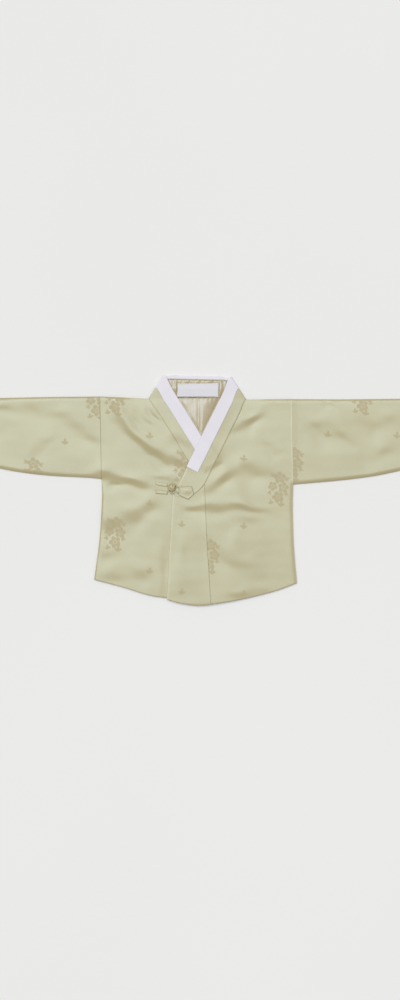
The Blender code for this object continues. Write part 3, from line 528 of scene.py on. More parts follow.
def sway(x, y, waves):
    """X moved to and fro by waves, each with its reach and its lengths along X and along Y."""
    moved = x
    for reach, along, upward in waves:
        moved = moved + reach * np.sin(x / along + y / upward)
    return moved


def crests(angle):
    """A wave between nought and one."""
    return 0.5 + 0.5 * np.sin(angle)


def crease_lift(x, y):
    """What the folds add to or take from the cloth's height, in millimetres."""
    x, y = wander(x, y)
    total = np.zeros_like(x)
    flutter, flutter_x, flutter_y = CREASE_FLUTTER
    swing, swings = CREASE_SWING
    for crease in CREASES:
        route = spline(crease.line)[::4]
        margin = CREASE_MARGIN * crease.width
        low, high = route.min(0) - margin, route.max(0) + margin
        near = (x > low[0]) & (x < high[0]) & (y > low[1]) & (y < high[1])
        if not near.any():
            continue
        spot = np.stack((x[near], y[near]), -1)
        best = np.full(len(spot), np.inf)
        side = np.zeros(len(spot))
        share = np.zeros(len(spot))
        for index, (start, end) in enumerate(zip(route, route[1:])):
            leg = end - start
            offset = spot - start
            t = np.clip(offset @ leg / (leg @ leg), 0.0, 1.0)
            distance = ((offset - t[:, None] * leg) ** 2).sum(1)
            closer = distance < best
            best = np.where(closer, distance, best)
            above = (leg[0] * offset[:, 1] - leg[1] * offset[:, 0]) / np.linalg.norm(leg)
            side = np.where(closer, above, side)
            share = np.where(closer, (index + t) / (len(route) - 1), share)
        strength = smoothstep(0.0, FADE, 1.0 - share)
        if crease.fade == "both":
            strength *= smoothstep(0.0, FADE, share)
        strength *= 1.0 - flutter + flutter * np.sin(spot[:, 0] / flutter_x + spot[:, 1] / flutter_y)
        width = crease.width * (1.0 + swing * np.sin(swings * math.pi * share + crease.width))
        step = STEP_PEAK * side / width * np.exp(-best / width ** 2)
        total[near] += crease.lift * strength * step
    return total


def ripple(x, y):
    """Faint unevenness of cloth that lies loose."""
    total = np.zeros_like(x)
    for height, length, heading, phase in RIPPLES:
        along = x * math.cos(heading) + y * math.sin(heading)
        sideways = y * math.cos(heading) - x * math.sin(heading)
        total += height * np.sin(2.0 * math.pi * along / length + phase + np.sin(sideways / length))
    return total


def front_height(x, y):
    """Underside of a front or of a sleeve's upper wall: the back's wall, a gap and the puff."""
    sizes = bpy.context.scene.jeogori_sizes
    beside_neck = 1.0 - smoothstep(*NECK_SPAN, np.abs(x))
    reach = SHOULDER_REACH[0] + (SHOULDER_REACH[1] - SHOULDER_REACH[0]) * beside_neck
    closed = saturate(shoulder_height(x) - y, reach) * saturate(lower_distance(x, y))
    hem = -HEM_MIDDLE + HEM_RISE * (x / HEM_SPAN) ** 2
    open_hem = HEM_PUFF + (1.0 - HEM_PUFF) * saturate(y - hem)
    puff = sizes.puff * closed * open_hem
    puff += sizes.fold_strength * (crease_lift(x, y) + ripple(x, y)) * closed ** FOLD_HOLD
    return STEP_UP + (puff + np.sqrt(puff ** 2 + LEAST_PUFF ** 2)) / 2.0 - LEAST_PUFF / 2.0


def under_height(x, y):
    """Underside of the right front, which lies flatter where the left front covers it."""
    flatter = HIDDEN_FLATTER * smoothstep(*HIDDEN_FROM, x)
    return STEP_UP + (front_height(x, y) - STEP_UP) * (1.0 - flatter)


class CollarRun:
    """One front run of the collar, from its fold at the neck down to its end at the lap."""

    def __init__(self, fold, direction):
        self.top = np.array(fold[0])
        self.seam_end = np.array(fold[1])
        self.direction = unit(direction)
        across = np.array((-self.direction[1], self.direction[0]))
        self.across = across if across @ (self.seam_end - self.top) > 0.0 else -across
        self.lead = (self.seam_end - self.top) @ self.direction
        self.spread = (self.seam_end - self.top) @ self.across - BAND_WIDTH
        fold_line = unit(self.seam_end - self.top)
        outward = np.array((-fold_line[1], fold_line[0]))
        self.outward = outward if outward @ self.direction < 0.0 else -outward

    def width(self, down):
        bend = np.clip((down - ROUND_START) / ROUND_REACH, 0.0, 1.0)
        return BAND_WIDTH * np.sqrt(1.0 - bend ** 2)

    def place(self, down, share):
        slanted = 1.0 - smoothstep(0.0, SQUARE_AT, down)
        width = (self.width(down) + self.spread * slanted) * share
        along = down + self.lead * slanted * share
        return self.top + along[..., None] * self.direction + width[..., None] * self.across

    def fold_place(self, share):
        """Places on the run's fold, from the neck line to the seam."""
        return self.top + share[..., None] * (self.seam_end - self.top)

    def coordinates(self, x, y):
        """How far places lie down the run, and across it from its upper edge."""
        offset = np.stack((x, y), -1) - self.top
        return offset @ self.direction, offset @ self.across


OVER = CollarRun(LEFT_FOLD, OVER_DIRECTION)
UNDER = CollarRun(RIGHT_FOLD, UNDER_DIRECTION)


def under_lift(down):
    lining = LINING_LIFT * (1.0 - smoothstep(*LINING_ENDS, down))
    return lining + (FOLD_LIFT - LINING_LIFT) * np.exp(-(down / FOLD_LIFT_REACH) ** 2)


def over_lift(down):
    lift = FOLD_LIFT + (CROSSING_LIFT - FOLD_LIFT) * smoothstep(0.0, CROSSING[0], down)
    return lift * (1.0 - smoothstep(*CROSSING, down))


def over_height(x, y):
    """Underside of the left front and its lap: the front's height, raised over the right one."""
    down, across = UNDER.coordinates(x, y)
    inner_edge = read_line(INNER_EDGE, y, 1, 0) + INNER_EDGE_SPARE
    body = smoothstep(-UNDER_MARGIN, 0.0, across) * smoothstep(-INNER_MARGIN, 0.0, inner_edge - x)
    inside = np.minimum(np.minimum(across, BAND_WIDTH * STRIP_SHARE - across), STRIP_LENGTH - down)
    strip = smoothstep(-STRIP_MARGIN, 0.0, inside)
    share = np.clip(across / BAND_WIDTH, 0.0, 1.0)
    lift = under_lift(np.maximum(down, FOLD_LIFT_REACH * 2.0)) * (1.0 - share)
    lift = lift * smoothstep(-UNDER_MARGIN, 0.0, across)
    lapped = (STEP_UP + LAP_CLEARANCE) * body
    return front_height(x, y) + lapped + lift + (STRIP_WALL + GAP) * strip * body


def band_height(run, down, share):
    """Middle of the collar band's wall at places on one of its front runs."""
    x, y = np.moveaxis(run.place(down, share), -1, 0)
    if run is OVER:
        return over_height(x, y) + over_lift(down) * (1.0 - share) + WALL / 2.0
    return under_height(x, y) + under_lift(down) * (1.0 - share) + WALL / 2.0


def back_height(share):
    """Middle of the band's wall across the back: over the strip above, on the surface below."""
    upper = WALL / 2.0 + GAP + STRIP_WALL
    step = np.clip((share - BACK_STEP[0]) / (BACK_STEP[1] - BACK_STEP[0]), 0.0, 1.0)
    return upper + (WALL / 2.0 - upper) * step


def fold_radius(run, share):
    return (band_height(run, np.zeros_like(share), share) - back_height(share)) / 2.0


def axis_place(run, share):
    """Places on the line that a fold turns about, set in so the fold ends at the outline."""
    share = np.asarray(share, float)
    over_strip = np.where(share > STRIP_SHARE, 0.0, STRIP_WALL + GAP)
    reach = fold_radius(run, share) + WALL / 2.0 + over_strip
    return run.fold_place(share) - reach[..., None] * run.outward


def front_place(run, down, share):
    """Places on a front run, set in near its fold by the room that the fold takes."""
    down, share = np.broadcast_arrays(np.asarray(down, float), np.asarray(share, float))
    blend = 1.0 - smoothstep(0.0, SET_IN_AT, down)
    inset = axis_place(run, share) - run.fold_place(share)
    return run.place(down, share) + inset * blend[..., None]


def back_place(part, share):
    """Places across the back, at a part of the way from the left fold to the right one."""
    part, share = np.broadcast_arrays(np.asarray(part, float), np.asarray(share, float))
    start, end = axis_place(OVER, share), axis_place(UNDER, share)
    place = start + part[..., None] * (end - start)
    rise = BACK_RISE * np.minimum(1.0, np.minimum(part, 1.0 - part) * BACK_CELLS)
    place[..., 1] += rise * (1.0 - share)
    return place


def back_part(x, share):
    """The part of the way across the back at which a level of the band passes an X."""
    start, end = axis_place(OVER, share)[..., 0], axis_place(UNDER, share)[..., 0]
    return np.clip((start - x) / (start - end), 0.0, 1.0)


def front_section(run, down, share, offset):
    down = np.full_like(share, down)
    place = front_place(run, down, share)
    return np.column_stack((place, band_height(run, down, share) + offset))


def fold_section(run, angle, share, offset):
    """A section of the collar in the fold, turned by an angle from the front to the back."""
    radius = fold_radius(run, share)
    middle = band_height(run, np.zeros_like(share), share) - radius
    reach = (radius + offset) * math.sin(angle)
    place = axis_place(run, share) + reach[:, None] * run.outward
    return np.column_stack((place, middle + (radius + offset) * math.cos(angle)))


def back_section(part, share, offset):
    return np.column_stack((back_place(part, share), back_height(share) - offset))


def strip_distances(cell):
    """Stations down a front run as far as the white strip reaches."""
    near_fold = np.arange(0.0, 2.0 * LIP_AT, 1.0)
    rest = np.linspace(2.0 * LIP_AT, STRIP_LENGTH, int(STRIP_LENGTH / cell))
    return np.concatenate((near_fold, rest))


def rounded_distances():
    """Stations round the band's curved end, closer together where it turns faster."""
    return ROUND_START + ROUND_SPAN * np.sin(np.linspace(0.0, math.pi / 2.0, ROUNDED_STATIONS))


def collar_sections(end_distances, section_at):
    """Sections of the collar in turn, where section_at gives shares and offsets at a distance."""
    angles = np.radians(np.arange(FOLD_STEP, 180.0, FOLD_STEP))
    result = []
    for down in end_distances[::-1]:
        result.append(front_section(OVER, down, *section_at(OVER, down)))
    for angle in angles:
        result.append(fold_section(OVER, angle, *section_at(OVER, 0.0)))
    for part in np.linspace(0.0, 1.0, 4 * BACK_CELLS + 1):
        result.append(back_section(part, *section_at(OVER, 0.0)))
    for angle in angles[::-1]:
        result.append(fold_section(UNDER, angle, *section_at(UNDER, 0.0)))
    for down in end_distances:
        result.append(front_section(UNDER, down, *section_at(UNDER, down)))
    return np.array(result)


def soften(corners, steps=3):
    """A closed section with each corner rounded, as (across, offset) points in millimetres."""
    result = []
    count = len(corners)
    for index, (x, y, radius) in enumerate(corners):
        here = np.array((x, y))
        before = np.array(corners[index - 1][:2])
        after = np.array(corners[(index + 1) % count][:2])
        into, out = before - here, after - here
        start = here + into * min(radius / max(np.linalg.norm(into), 1e-6), 0.5)
        end = here + out * min(radius / max(np.linalg.norm(out), 1e-6), 0.5)
        for t in np.linspace(0.0, 1.0, steps):
            result.append((1 - t) ** 2 * start + 2 * t * (1 - t) * here + t ** 2 * end)
    return np.array(result)


def between(start, end, cells):
    """Plain corners part of the way along a section's long face."""
    shares = np.arange(1, cells) / cells
    return [(start[0] + (end[0] - start[0]) * t, start[1] + (end[1] - start[1]) * t, 0.0) for t in shares]


def offset_route(route, side, distance):
    """A polyline moved sideways, to the side that a direction names at its start."""
    legs = np.diff(route, axis=0)
    legs /= np.linalg.norm(legs, axis=1)[:, None]
    normals = np.column_stack((-legs[:, 1], legs[:, 0]))
    if normals[0] @ side < 0.0:
        normals = -normals
    miters = normals[:-1] + normals[1:]
    miters /= np.linalg.norm(miters, axis=1)[:, None]
    reach = distance / (miters * normals[1:]).sum(1)
    inner = route[1:-1] + miters * reach[:, None]
    return np.vstack((route[0] + normals[0] * distance, inner, route[-1] + normals[-1] * distance))


def seam_edge(run, cell):
    """A panel's whole edge beside the band, a gap out from it, from the fold round to the end."""
    downs = np.concatenate((strip_distances(cell), rounded_distances()))
    route = front_place(run, downs, np.ones_like(downs))
    tip = front_place(run, downs[-1:], np.zeros(1))
    gap = BAND_GAPS[0] if run is OVER else BAND_GAPS[1]
    return offset_route(np.vstack((route, tip)), run.across, gap)


def neck_corner(run):
    """The corner of a panel beside the outermost point of the fold's seam edge."""
    return run.seam_end + unit(run.seam_end - run.top) * (2.0 * GAP)


def nearest(route, place):
    return int(np.argmin(np.linalg.norm(route - np.asarray(place), axis=1)))


def line(start, end):
    return np.array((start, end), float)


def above_seam(run, seam_top, cell):
    """A front's edge beside the band, from the top of its seam up to the neck corner."""
    edge = seam_edge(run, cell)
    return np.vstack((edge[:nearest(edge, seam_top) + 1][::-1], neck_corner(run)))


def below_seam(run, seam_top, cell):
    """A lap's edge beside the band, from the top of its seam on to the band's end."""
    edge = seam_edge(run, cell)
    return edge[nearest(edge, seam_top):]


def rectangle_grid(foot, right, top_right, top_left, cell):
    """Points between four corners, and each point's distance to a rim."""
    return panel_grid([line(foot, right)], [line(top_left, top_right)],
                      [line(foot, top_left)], [line(right, top_right)], cell)


def cloth_places(name, x, y):
    """Where places fall on the woven repeat, measured from a cluster's middle, in metres."""
    cut = CUTS[name]
    turn = math.radians(cut.turn)
    dx, dy = x - cut.x, y - cut.y
    along = dx * math.cos(turn) + dy * math.sin(turn)
    upward = dy * math.cos(turn) - dx * math.sin(turn)
    return np.column_stack((along.ravel(), upward.ravel(), np.zeros(x.size))) * MM


def rim_drop(distance, reach, depth):
    """How far a rounded edge falls away at a distance in from it."""
    inward = np.clip(1.0 - distance / reach, 0.0, 1.0)
    return depth * (1.0 - np.sqrt(1.0 - inward ** 2))


def seam_lift(distance):
    """How far cloth stands up beside a seam that it overlaps."""
    return SEAM_LIFT * np.exp(-(distance / SEAM_LIFT_REACH) ** 2)


def write_piece(name, vertices, faces, cloth, material):
    """A mesh in metres from points in millimetres, its faces pointing out."""
    mesh = bpy.data.meshes.new(name)
    mesh.from_pydata((vertices * MM).tolist(), [], faces)
    work = bmesh.new()
    work.from_mesh(mesh)
    bmesh.ops.recalc_face_normals(work, faces=work.faces)
    work.to_mesh(mesh)
    work.free()
    if cloth is not None:
        attribute = mesh.attributes.new("cloth", "FLOAT_VECTOR", "POINT")
        attribute.data.foreach_set("vector", np.asarray(cloth, np.float32).ravel())
    mesh.materials.append(material)
    mesh.shade_smooth()
    piece = bpy.data.objects.new(name, mesh)
    bpy.context.scene.collection.objects.link(piece)
    return piece


def quads(rows, columns):
    """Faces of a grid of vertices, given as rows of indices."""
    index = np.arange(rows * columns).reshape(rows, columns)
    return np.stack((index[:-1, :-1], index[:-1, 1:], index[1:, 1:], index[1:, :-1]), -1).reshape(-1, 4)


def paint_edge_highlight(piece, distance):
    """Paints a highlight next to an edge: a lighter colour, from each point's distance to it."""
    attribute = piece.data.attributes.new("pale", "FLOAT", "POINT")
    attribute.data.foreach_set("value", np.exp(-(distance / EDGE_HIGHLIGHT_REACH) ** 2).astype(np.float32))


def shell(name, grid, rims, underside, wall, cloth_name, material, roll=0.0, edges=None, pale=None):
    """A closed sheet of cloth over a grid, its rim rounded, on an underside that a function gives.

    The edge that pale numbers gets a painted highlight, a lighter colour next to it.
    """
    x, y = grid[..., 0], grid[..., 1]
    rows, columns = x.shape
    rim = np.minimum.reduce(np.broadcast_arrays(*rims))
    base = underside(x, y)
    upper_drops, lower_drops = [], []
    for distance, (reach, depth) in zip(rims, edges or (SOFT_EDGE,) * 4):
        upper_drops.append(rim_drop(distance, reach, depth))
        lower_drops.append(rim_drop(distance, LOWER_RIM, wall - depth))
    drop = np.maximum.reduce(np.broadcast_arrays(*upper_drops))
    turned = roll * np.exp(-((rim - ROLL_AT[0]) / ROLL_AT[1]) ** 2)
    upper = base + wall - drop + turned * np.clip(rim / ROLL_START, 0.0, 1.0)
    lower = base + np.maximum.reduce(np.broadcast_arrays(*lower_drops))
    top = np.column_stack((x.ravel(), y.ravel(), upper.ravel()))
    inside = np.zeros((rows, columns), bool)
    inside[1:-1, 1:-1] = True
    low = np.column_stack((x.ravel(), y.ravel(), lower.ravel()))[inside.ravel()]
    number = np.arange(rows * columns)
    number[inside.ravel()] = rows * columns + np.arange(len(low))
    over = quads(rows, columns)
    under = number[over][:, ::-1]
    cloth = cloth_places(cloth_name, x, y)
    cloth = np.vstack((cloth, cloth[inside.ravel()]))
    faces = over.tolist() + under.tolist()
    piece = write_piece(name, np.vstack((top, low)), faces, cloth, material)
    if pale is not None:
        distance = np.broadcast_to(rims[pale], x.shape)
        paint_edge_highlight(piece, np.concatenate((distance.ravel(), distance[inside])))
    return piece


def ring_walls(index):
    """Faces between rings of vertices, each given as a row of indices."""
    following = np.roll(index, -1, axis=1)
    return np.stack((index[:-1], following[:-1], following[1:], index[1:]), -1).reshape(-1, 4)


def loft(name, sections, cloth, material):
    """A closed solid through sections of the same number of points, capped at both ends."""
    stations, around, _ = sections.shape
    index = np.arange(stations * around).reshape(stations, around)
    faces = ring_walls(index).tolist() + [index[0].tolist(), index[-1].tolist()]
    return write_piece(name, sections.reshape(-1, 3), faces, cloth, material)


def ball_mesh(centre, radii, cells_round, cells_down):
    """Points and faces of a ball of rings, with a pole above and a pole below."""
    down = np.linspace(0.0, math.pi, cells_down + 1)[1:-1, None]
    turn = np.linspace(0.0, 2.0 * math.pi, cells_round, endpoint=False)[None]
    rings = np.stack((np.sin(down) * np.cos(turn), np.sin(down) * np.sin(turn),
                      np.cos(down) * np.ones_like(turn)), -1)
    index = np.arange(rings.shape[0] * cells_round).reshape(-1, cells_round)
    faces = ring_walls(index).tolist()
    for pole, ring in ((index.size, index[0]), (index.size + 1, index[-1])):
        faces += [[pole, start, end] for start, end in zip(ring.tolist(), np.roll(ring, -1).tolist())]
    points = np.vstack((rings.reshape(-1, 3), (0.0, 0.0, 1.0), (0.0, 0.0, -1.0)))
    return points * radii + centre, faces


def tube_mesh(route, ups, half_width, half_height, sides, closed):
    """Points and faces of a cord along a route, flat across the direction that ups gives."""
    if closed:
        tangents = np.roll(route, -1, axis=0) - np.roll(route, 1, axis=0)
    else:
        tangents = np.gradient(route, axis=0)
    tangents /= np.linalg.norm(tangents, axis=1)[:, None]
    across = np.cross(tangents, ups)
    across /= np.linalg.norm(across, axis=1)[:, None]
    up = np.cross(across, tangents)
    angles = np.linspace(0.0, 2.0 * math.pi, sides, endpoint=False)
    station = np.arange(len(route))
    nearer_end = np.minimum(station, len(route) - 1 - station) + END_ROUNDING
    swell = np.ones(len(route)) if closed else np.sqrt(np.clip(nearer_end, 0.0, 1.0))
    reach = swell[:, None, None]
    rings = (route[:, None] + across[:, None] * (half_width * np.cos(angles))[None, :, None] * reach
             + up[:, None] * (half_height * np.sin(angles))[None, :, None] * reach)
    index = np.arange(len(route) * sides).reshape(len(route), sides)
    if closed:
        faces = ring_walls(np.vstack((index, index[:1]))).tolist()
    else:
        faces = ring_walls(index).tolist() + [index[0].tolist(), index[-1].tolist()]
    return rings.reshape(-1, 3), faces


def joined(parts):
    """Several meshes' points and faces as one."""
    vertices, faces, start = [], [], 0
    for points, cells in parts:
        vertices.append(points)
        faces += [[start + corner for corner in cell] for cell in cells]
        start += len(points)
    return np.vstack(vertices), faces


def stitches(start, end, height, pitch, length, radius):
    """Short stitches in a row between two places, each a rounded thread over the cloth."""
    start, end = np.asarray(start, float), np.asarray(end, float)
    run = end - start
    total = np.linalg.norm(run)
    run /= total
    parts = []
    for middle in np.arange(pitch / 2.0, total, pitch):
        t = np.linspace(-0.5, 0.5, 6)
        spots = start + run * (middle + t * length)[:, None]
        rise = radius * (1.0 - (2.0 * t) ** 2)
        route = np.column_stack((spots, height(spots[:, 0], spots[:, 1]) + rise))
        ups = np.tile((0.0, 0.0, 1.0), (len(route), 1))
        parts.append(tube_mesh(route, ups, radius, radius, STITCH_SIDES, False))
    return parts


def dress(piece, slot, *nodes):
    """Sets a piece on the frame in place of its solids."""
    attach(piece, "root")
    if nodes:
        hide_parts(*nodes)
    return piece


def side_legs(side, shoulder, inward):
    """A body panel's outer edge: the side seam, then the armhole up to the shoulder."""
    below = spline(side)
    above = line(below[-1], shoulder[0])
    shift = np.array((inward, 0.0))
    return [below + shift, above + shift]


# Materials


def add_node(tree, kind, inputs=None, **settings):
    """A shader node with its settings, and inputs that are values or other nodes' outputs."""
    node = tree.nodes.new("ShaderNode" + kind)
    for key, value in settings.items():
        setattr(node, key, value)
    for key, value in (inputs or {}).items():
        if isinstance(value, bpy.types.NodeSocket):
            tree.links.new(value, node.inputs[key])
        else:
            node.inputs[key].default_value = value
    return node


def math_node(tree, operation, *values, clamp=False):
    node = add_node(tree, "Math", dict(enumerate(values)), operation=operation, use_clamp=clamp)
    return node.outputs[0]


def ramped(tree, value, low, high, start=0.0, end=1.0):
    """A value mapped smoothly from one range to another."""
    node = add_node(tree, "MapRange", {"Value": value, "From Min": low, "From Max": high,
                                       "To Min": start, "To Max": end}, interpolation_type="SMOOTHSTEP")
    return node.outputs["Result"]


def mixed(tree, share, first, second):
    return add_node(tree, "Mix", {0: share, 6: first, 7: second}, data_type="RGBA").outputs[2]


def noise(tree, place, scale, detail):
    return add_node(tree, "TexNoise", {"Vector": place, "Scale": scale, "Detail": detail}).outputs["Fac"]


def thread_noise(tree, cloth, stretch, detail):
    """Noise drawn out along threads, by how often it changes a metre along each axis."""
    stretched = add_node(tree, "Mapping", {"Vector": cloth, "Scale": stretch}).outputs[0]
    return noise(tree, stretched, 1.0, detail)


def connect(tree, shader, colour, roughness, height, depth, strength):
    """Joins a cloth's colour, roughness and relief to its shader."""
    bump = add_node(tree, "Bump", {"Height": height, "Distance": depth * MM, "Strength": strength})
    for name, value in (("Base Color", colour), ("Roughness", roughness), ("Normal", bump.outputs[0])):
        tree.links.new(value, shader.inputs[name])


def set_sockets(shader, values):
    for name, value in values.items():
        shader.inputs[name].default_value = value


def new_group(name, inputs, outputs):
    group = bpy.data.node_groups.new(name, "ShaderNodeTree")
    for title, kind in inputs:
        group.interface.new_socket(title, in_out="INPUT", socket_type=kind)
    for title, kind in outputs:
        group.interface.new_socket(title, in_out="OUTPUT", socket_type=kind)
    source = group.nodes.new("NodeGroupInput")
    target = group.nodes.new("NodeGroupOutput")
    return group, source, target


def polar(tree, place):
    """A place's second coordinate, its distance and angle, and a wave with five crests a turn."""
    parts = add_node(tree, "SeparateXYZ", {0: place}).outputs
    distance = add_node(tree, "VectorMath", {0: place}, operation="LENGTH").outputs["Value"]
    angle = math_node(tree, "ARCTAN2", parts[1], parts[0])
    cosine = math_node(tree, "COSINE", math_node(tree, "MULTIPLY", angle, PETALS / 2.0))
    return parts[1], distance, angle, math_node(tree, "ABSOLUTE", cosine)


def blossom_group():
    """A five-petalled flower a unit in radius, with veins between its petals and an open heart."""
    group, source, target = new_group(
        "Blossom", [("Place", "NodeSocketVector")], [("Figure", "NodeSocketFloat")])
    _, distance, _, wave = polar(group, source.outputs[0])
    lobe = math_node(group, "POWER", wave, 0.45)
    edge = math_node(group, "MULTIPLY_ADD", lobe, 0.55, 0.45)
    petals = ramped(group, math_node(group, "SUBTRACT", edge, distance), -0.03, 0.05)
    veins = ramped(group, math_node(group, "MULTIPLY", wave, distance), 0.01, 0.08, 0.15, 1.0)
    ring = math_node(group, "ABSOLUTE", math_node(group, "SUBTRACT", distance, 0.30))
    open_ring = ramped(group, ring, 0.02, 0.07, 0.1, 1.0)
    heart = ramped(group, distance, 0.12, 0.20, 1.0, 0.0)
    body = math_node(group, "MULTIPLY", math_node(group, "MULTIPLY", petals, veins), open_ring)
    group.links.new(math_node(group, "MAXIMUM", body, heart), target.inputs[0])
    return group


def spray_group():
    """A small maple-like leaf, with five points that fan out from its foot."""
    group, source, target = new_group(
        "Spray", [("Place", "NodeSocketVector")], [("Figure", "NodeSocketFloat")])
    sideways, distance, angle, wave = polar(group, source.outputs[0])
    forward = math_node(group, "COSINE", angle)
    reach = math_node(group, "MULTIPLY_ADD", forward, 0.28, 0.30)
    points = math_node(group, "MULTIPLY", math_node(group, "POWER", wave, 1.5), reach)
    edge = math_node(group, "ADD", points, math_node(group, "MULTIPLY_ADD", forward, 0.08, 0.32))
    leaf = ramped(group, math_node(group, "SUBTRACT", edge, distance), -0.03, 0.06)
    vein = ramped(group, math_node(group, "ABSOLUTE", sideways), 0.02, 0.05, 0.55, 1.0)
    group.links.new(math_node(group, "MULTIPLY", leaf, vein), target.inputs[0])
    return group


def figures_output(tree, place, figures, groups):
    """The union of a list of flowers and leaves, from places in millimetres."""
    union = None
    for figure in figures:
        own = add_node(tree, "Mapping", {
            "Vector": place, "Location": (figure.x, figure.y, 0.0),
            "Rotation": (0.0, 0.0, math.radians(figure.angle)), "Scale": (figure.size,) * 3,
        }, vector_type="TEXTURE").outputs[0]
        shape = tree.nodes.new("ShaderNodeGroup")
        shape.node_tree = groups[figure.kind]
        tree.links.new(own, shape.inputs[0])
        union = shape.outputs[0] if union is None else math_node(tree, "MAXIMUM", union, shape.outputs[0])
    return union


def repeat_group():
    """The woven repeat: clusters in a brick layout with a sprig in each space between them."""
    group, source, target = new_group(
        "Woven Repeat", [("Cloth", "NodeSocketVector")], [("Figure", "NodeSocketFloat")])
    groups = {"blossom": blossom_group(), "spray": spray_group()}
    parts = add_node(group, "SeparateXYZ", {0: source.outputs[0]}).outputs
    cells, near_cluster, near_sprig = [], [], []
    for axis, half in enumerate(HALF_REPEAT):
        steps = math_node(group, "DIVIDE", parts[axis], half * MM)
        cell = math_node(group, "ROUND", steps)
        rest = math_node(group, "SUBTRACT", steps, cell)
        near_cluster.append(math_node(group, "MULTIPLY", rest, half))
        between_cells = math_node(group, "SUBTRACT", math_node(group, "FRACT", steps), 0.5)
        near_sprig.append(math_node(group, "MULTIPLY", between_cells, half))
        cells.append(cell)
    odd = math_node(group, "ABSOLUTE", math_node(group, "MODULO", math_node(group, "ADD", *cells), 2.0))
    cluster_place = add_node(group, "CombineXYZ", dict(enumerate(near_cluster))).outputs[0]
    sprig_place = add_node(group, "CombineXYZ", dict(enumerate(near_sprig))).outputs[0]
    cluster = figures_output(group, cluster_place, CLUSTER, groups)
    even = math_node(group, "LESS_THAN", odd, 0.5)
    sprig = figures_output(group, sprig_place, SPRIG, groups)
    both = math_node(group, "MAXIMUM", math_node(group, "MULTIPLY", cluster, even), sprig)
    group.links.new(both, target.inputs[0])
    return group


def new_material(name):
    material = bpy.data.materials.new(name)
    material.use_nodes = True
    tree = material.node_tree
    return material, tree, tree.nodes["Principled BSDF"]


def shade(colour, factor):
    return tuple(min(channel * factor, 1.0) for channel in colour[:3]) + (1.0,)


def satin(name, woven, lightness=1.0, anisotropy=0.55):
    """Sage-gold silk satin: warp floats with a broad sheen, and matt woven flowers if woven."""
    if name in bpy.data.materials:
        return bpy.data.materials[name]
    colours = bpy.context.scene.jeogori_colours
    material, tree, shader = new_material(name)
    if woven:
        cloth = add_node(tree, "Attribute", attribute_name="cloth").outputs["Vector"]
    else:
        cloth = add_node(tree, "TexCoord").outputs["Object"]
    drift = noise(tree, cloth, 14.0, 2.0)
    warp = thread_noise(tree, cloth, WARP_STRETCH, 3.0)
    weft = thread_noise(tree, cloth, WEFT_STRETCH, 2.0)
    base = shade(colours.satin, lightness)
    ground = mixed(tree, ramped(tree, drift, 0.3, 0.7), shade(base, 0.96), shade(base, 1.03))
    ground = mixed(tree, ramped(tree, warp, 0.25, 0.75, 0.0, 0.5), ground, shade(base, 1.10))
    colour, roughness = ground, ramped(tree, weft, 0.2, 0.8, *SATIN_ROUGHNESS)
    height = math_node(tree, "ADD", warp, math_node(tree, "MULTIPLY", weft, WEFT_RELIEF))
    if woven:
        repeat = tree.nodes.new("ShaderNodeGroup")
        repeat.node_tree = bpy.data.node_groups.get("Woven Repeat") or repeat_group()
        tree.links.new(cloth, repeat.inputs[0])
        speckle = ramped(tree, weft, 0.25, 0.6, 0.72, 1.0)
        figure = math_node(tree, "MULTIPLY", repeat.outputs[0], speckle)
        colour = mixed(tree, figure, ground, tuple(colours.figure) + (1.0,))
        roughness = math_node(tree, "MULTIPLY_ADD", figure, FIGURE_ROUGHNESS, roughness)
        height = math_node(tree, "MULTIPLY_ADD", figure, FIGURE_RELIEF, height)
    # Painted highlight: a lighter colour mixed in where the pale attribute marks an edge
    edge = add_node(tree, "Attribute", attribute_name="pale").outputs["Fac"]
    colour = mixed(tree, edge, colour, EDGE_HIGHLIGHT_COLOUR)
    connect(tree, shader, colour, roughness, height, *SATIN_RELIEF)
    across = add_node(tree, "CombineXYZ", {0: 1.0}).outputs[0]
    tree.links.new(across, shader.inputs["Tangent"])
    set_sockets(shader, SATIN_GLOSS)
    shader.inputs["Anisotropic"].default_value = anisotropy
    return material


def plain_weave(name, colour, weave):
    """A plain woven cloth: crossing threads in relief, with slightly uneven colour."""
    if name in bpy.data.materials:
        return bpy.data.materials[name]
    material, tree, shader = new_material(name)
    cloth = add_node(tree, "TexCoord").outputs["Object"]
    waves = []
    for direction in ("X", "Y"):
        wave = add_node(tree, "TexWave", {
            "Vector": cloth, "Scale": 1.0 / (weave.pitch * MM) / 20.0,
            "Distortion": 0.6, "Detail": 1.0, "Detail Scale": 1.5,
        }, wave_type="BANDS", bands_direction=direction)
        waves.append(wave.outputs["Fac"])
    threads = math_node(tree, "MULTIPLY", *waves)
    drift = noise(tree, cloth, 40.0, 3.0)
    base = tuple(colour) + (1.0,)
    shaded = mixed(tree, ramped(tree, drift, 0.3, 0.7), shade(base, 0.97), shade(base, 1.02))
    shaded = mixed(tree, ramped(tree, threads, 0.0, 0.8, 0.35, 0.0), shaded, shade(base, 0.90))
    roughness = ramped(tree, threads, 0.0, 1.0, weave.roughness + WEAVE_UNEVENNESS,
                       weave.roughness - WEAVE_UNEVENNESS)
    connect(tree, shader, shaded, roughness, threads, WEAVE_DEPTH, weave.relief)
    set_sockets(shader, {"Specular IOR Level": weave.gloss, "Sheen Weight": weave.sheen})
    return material


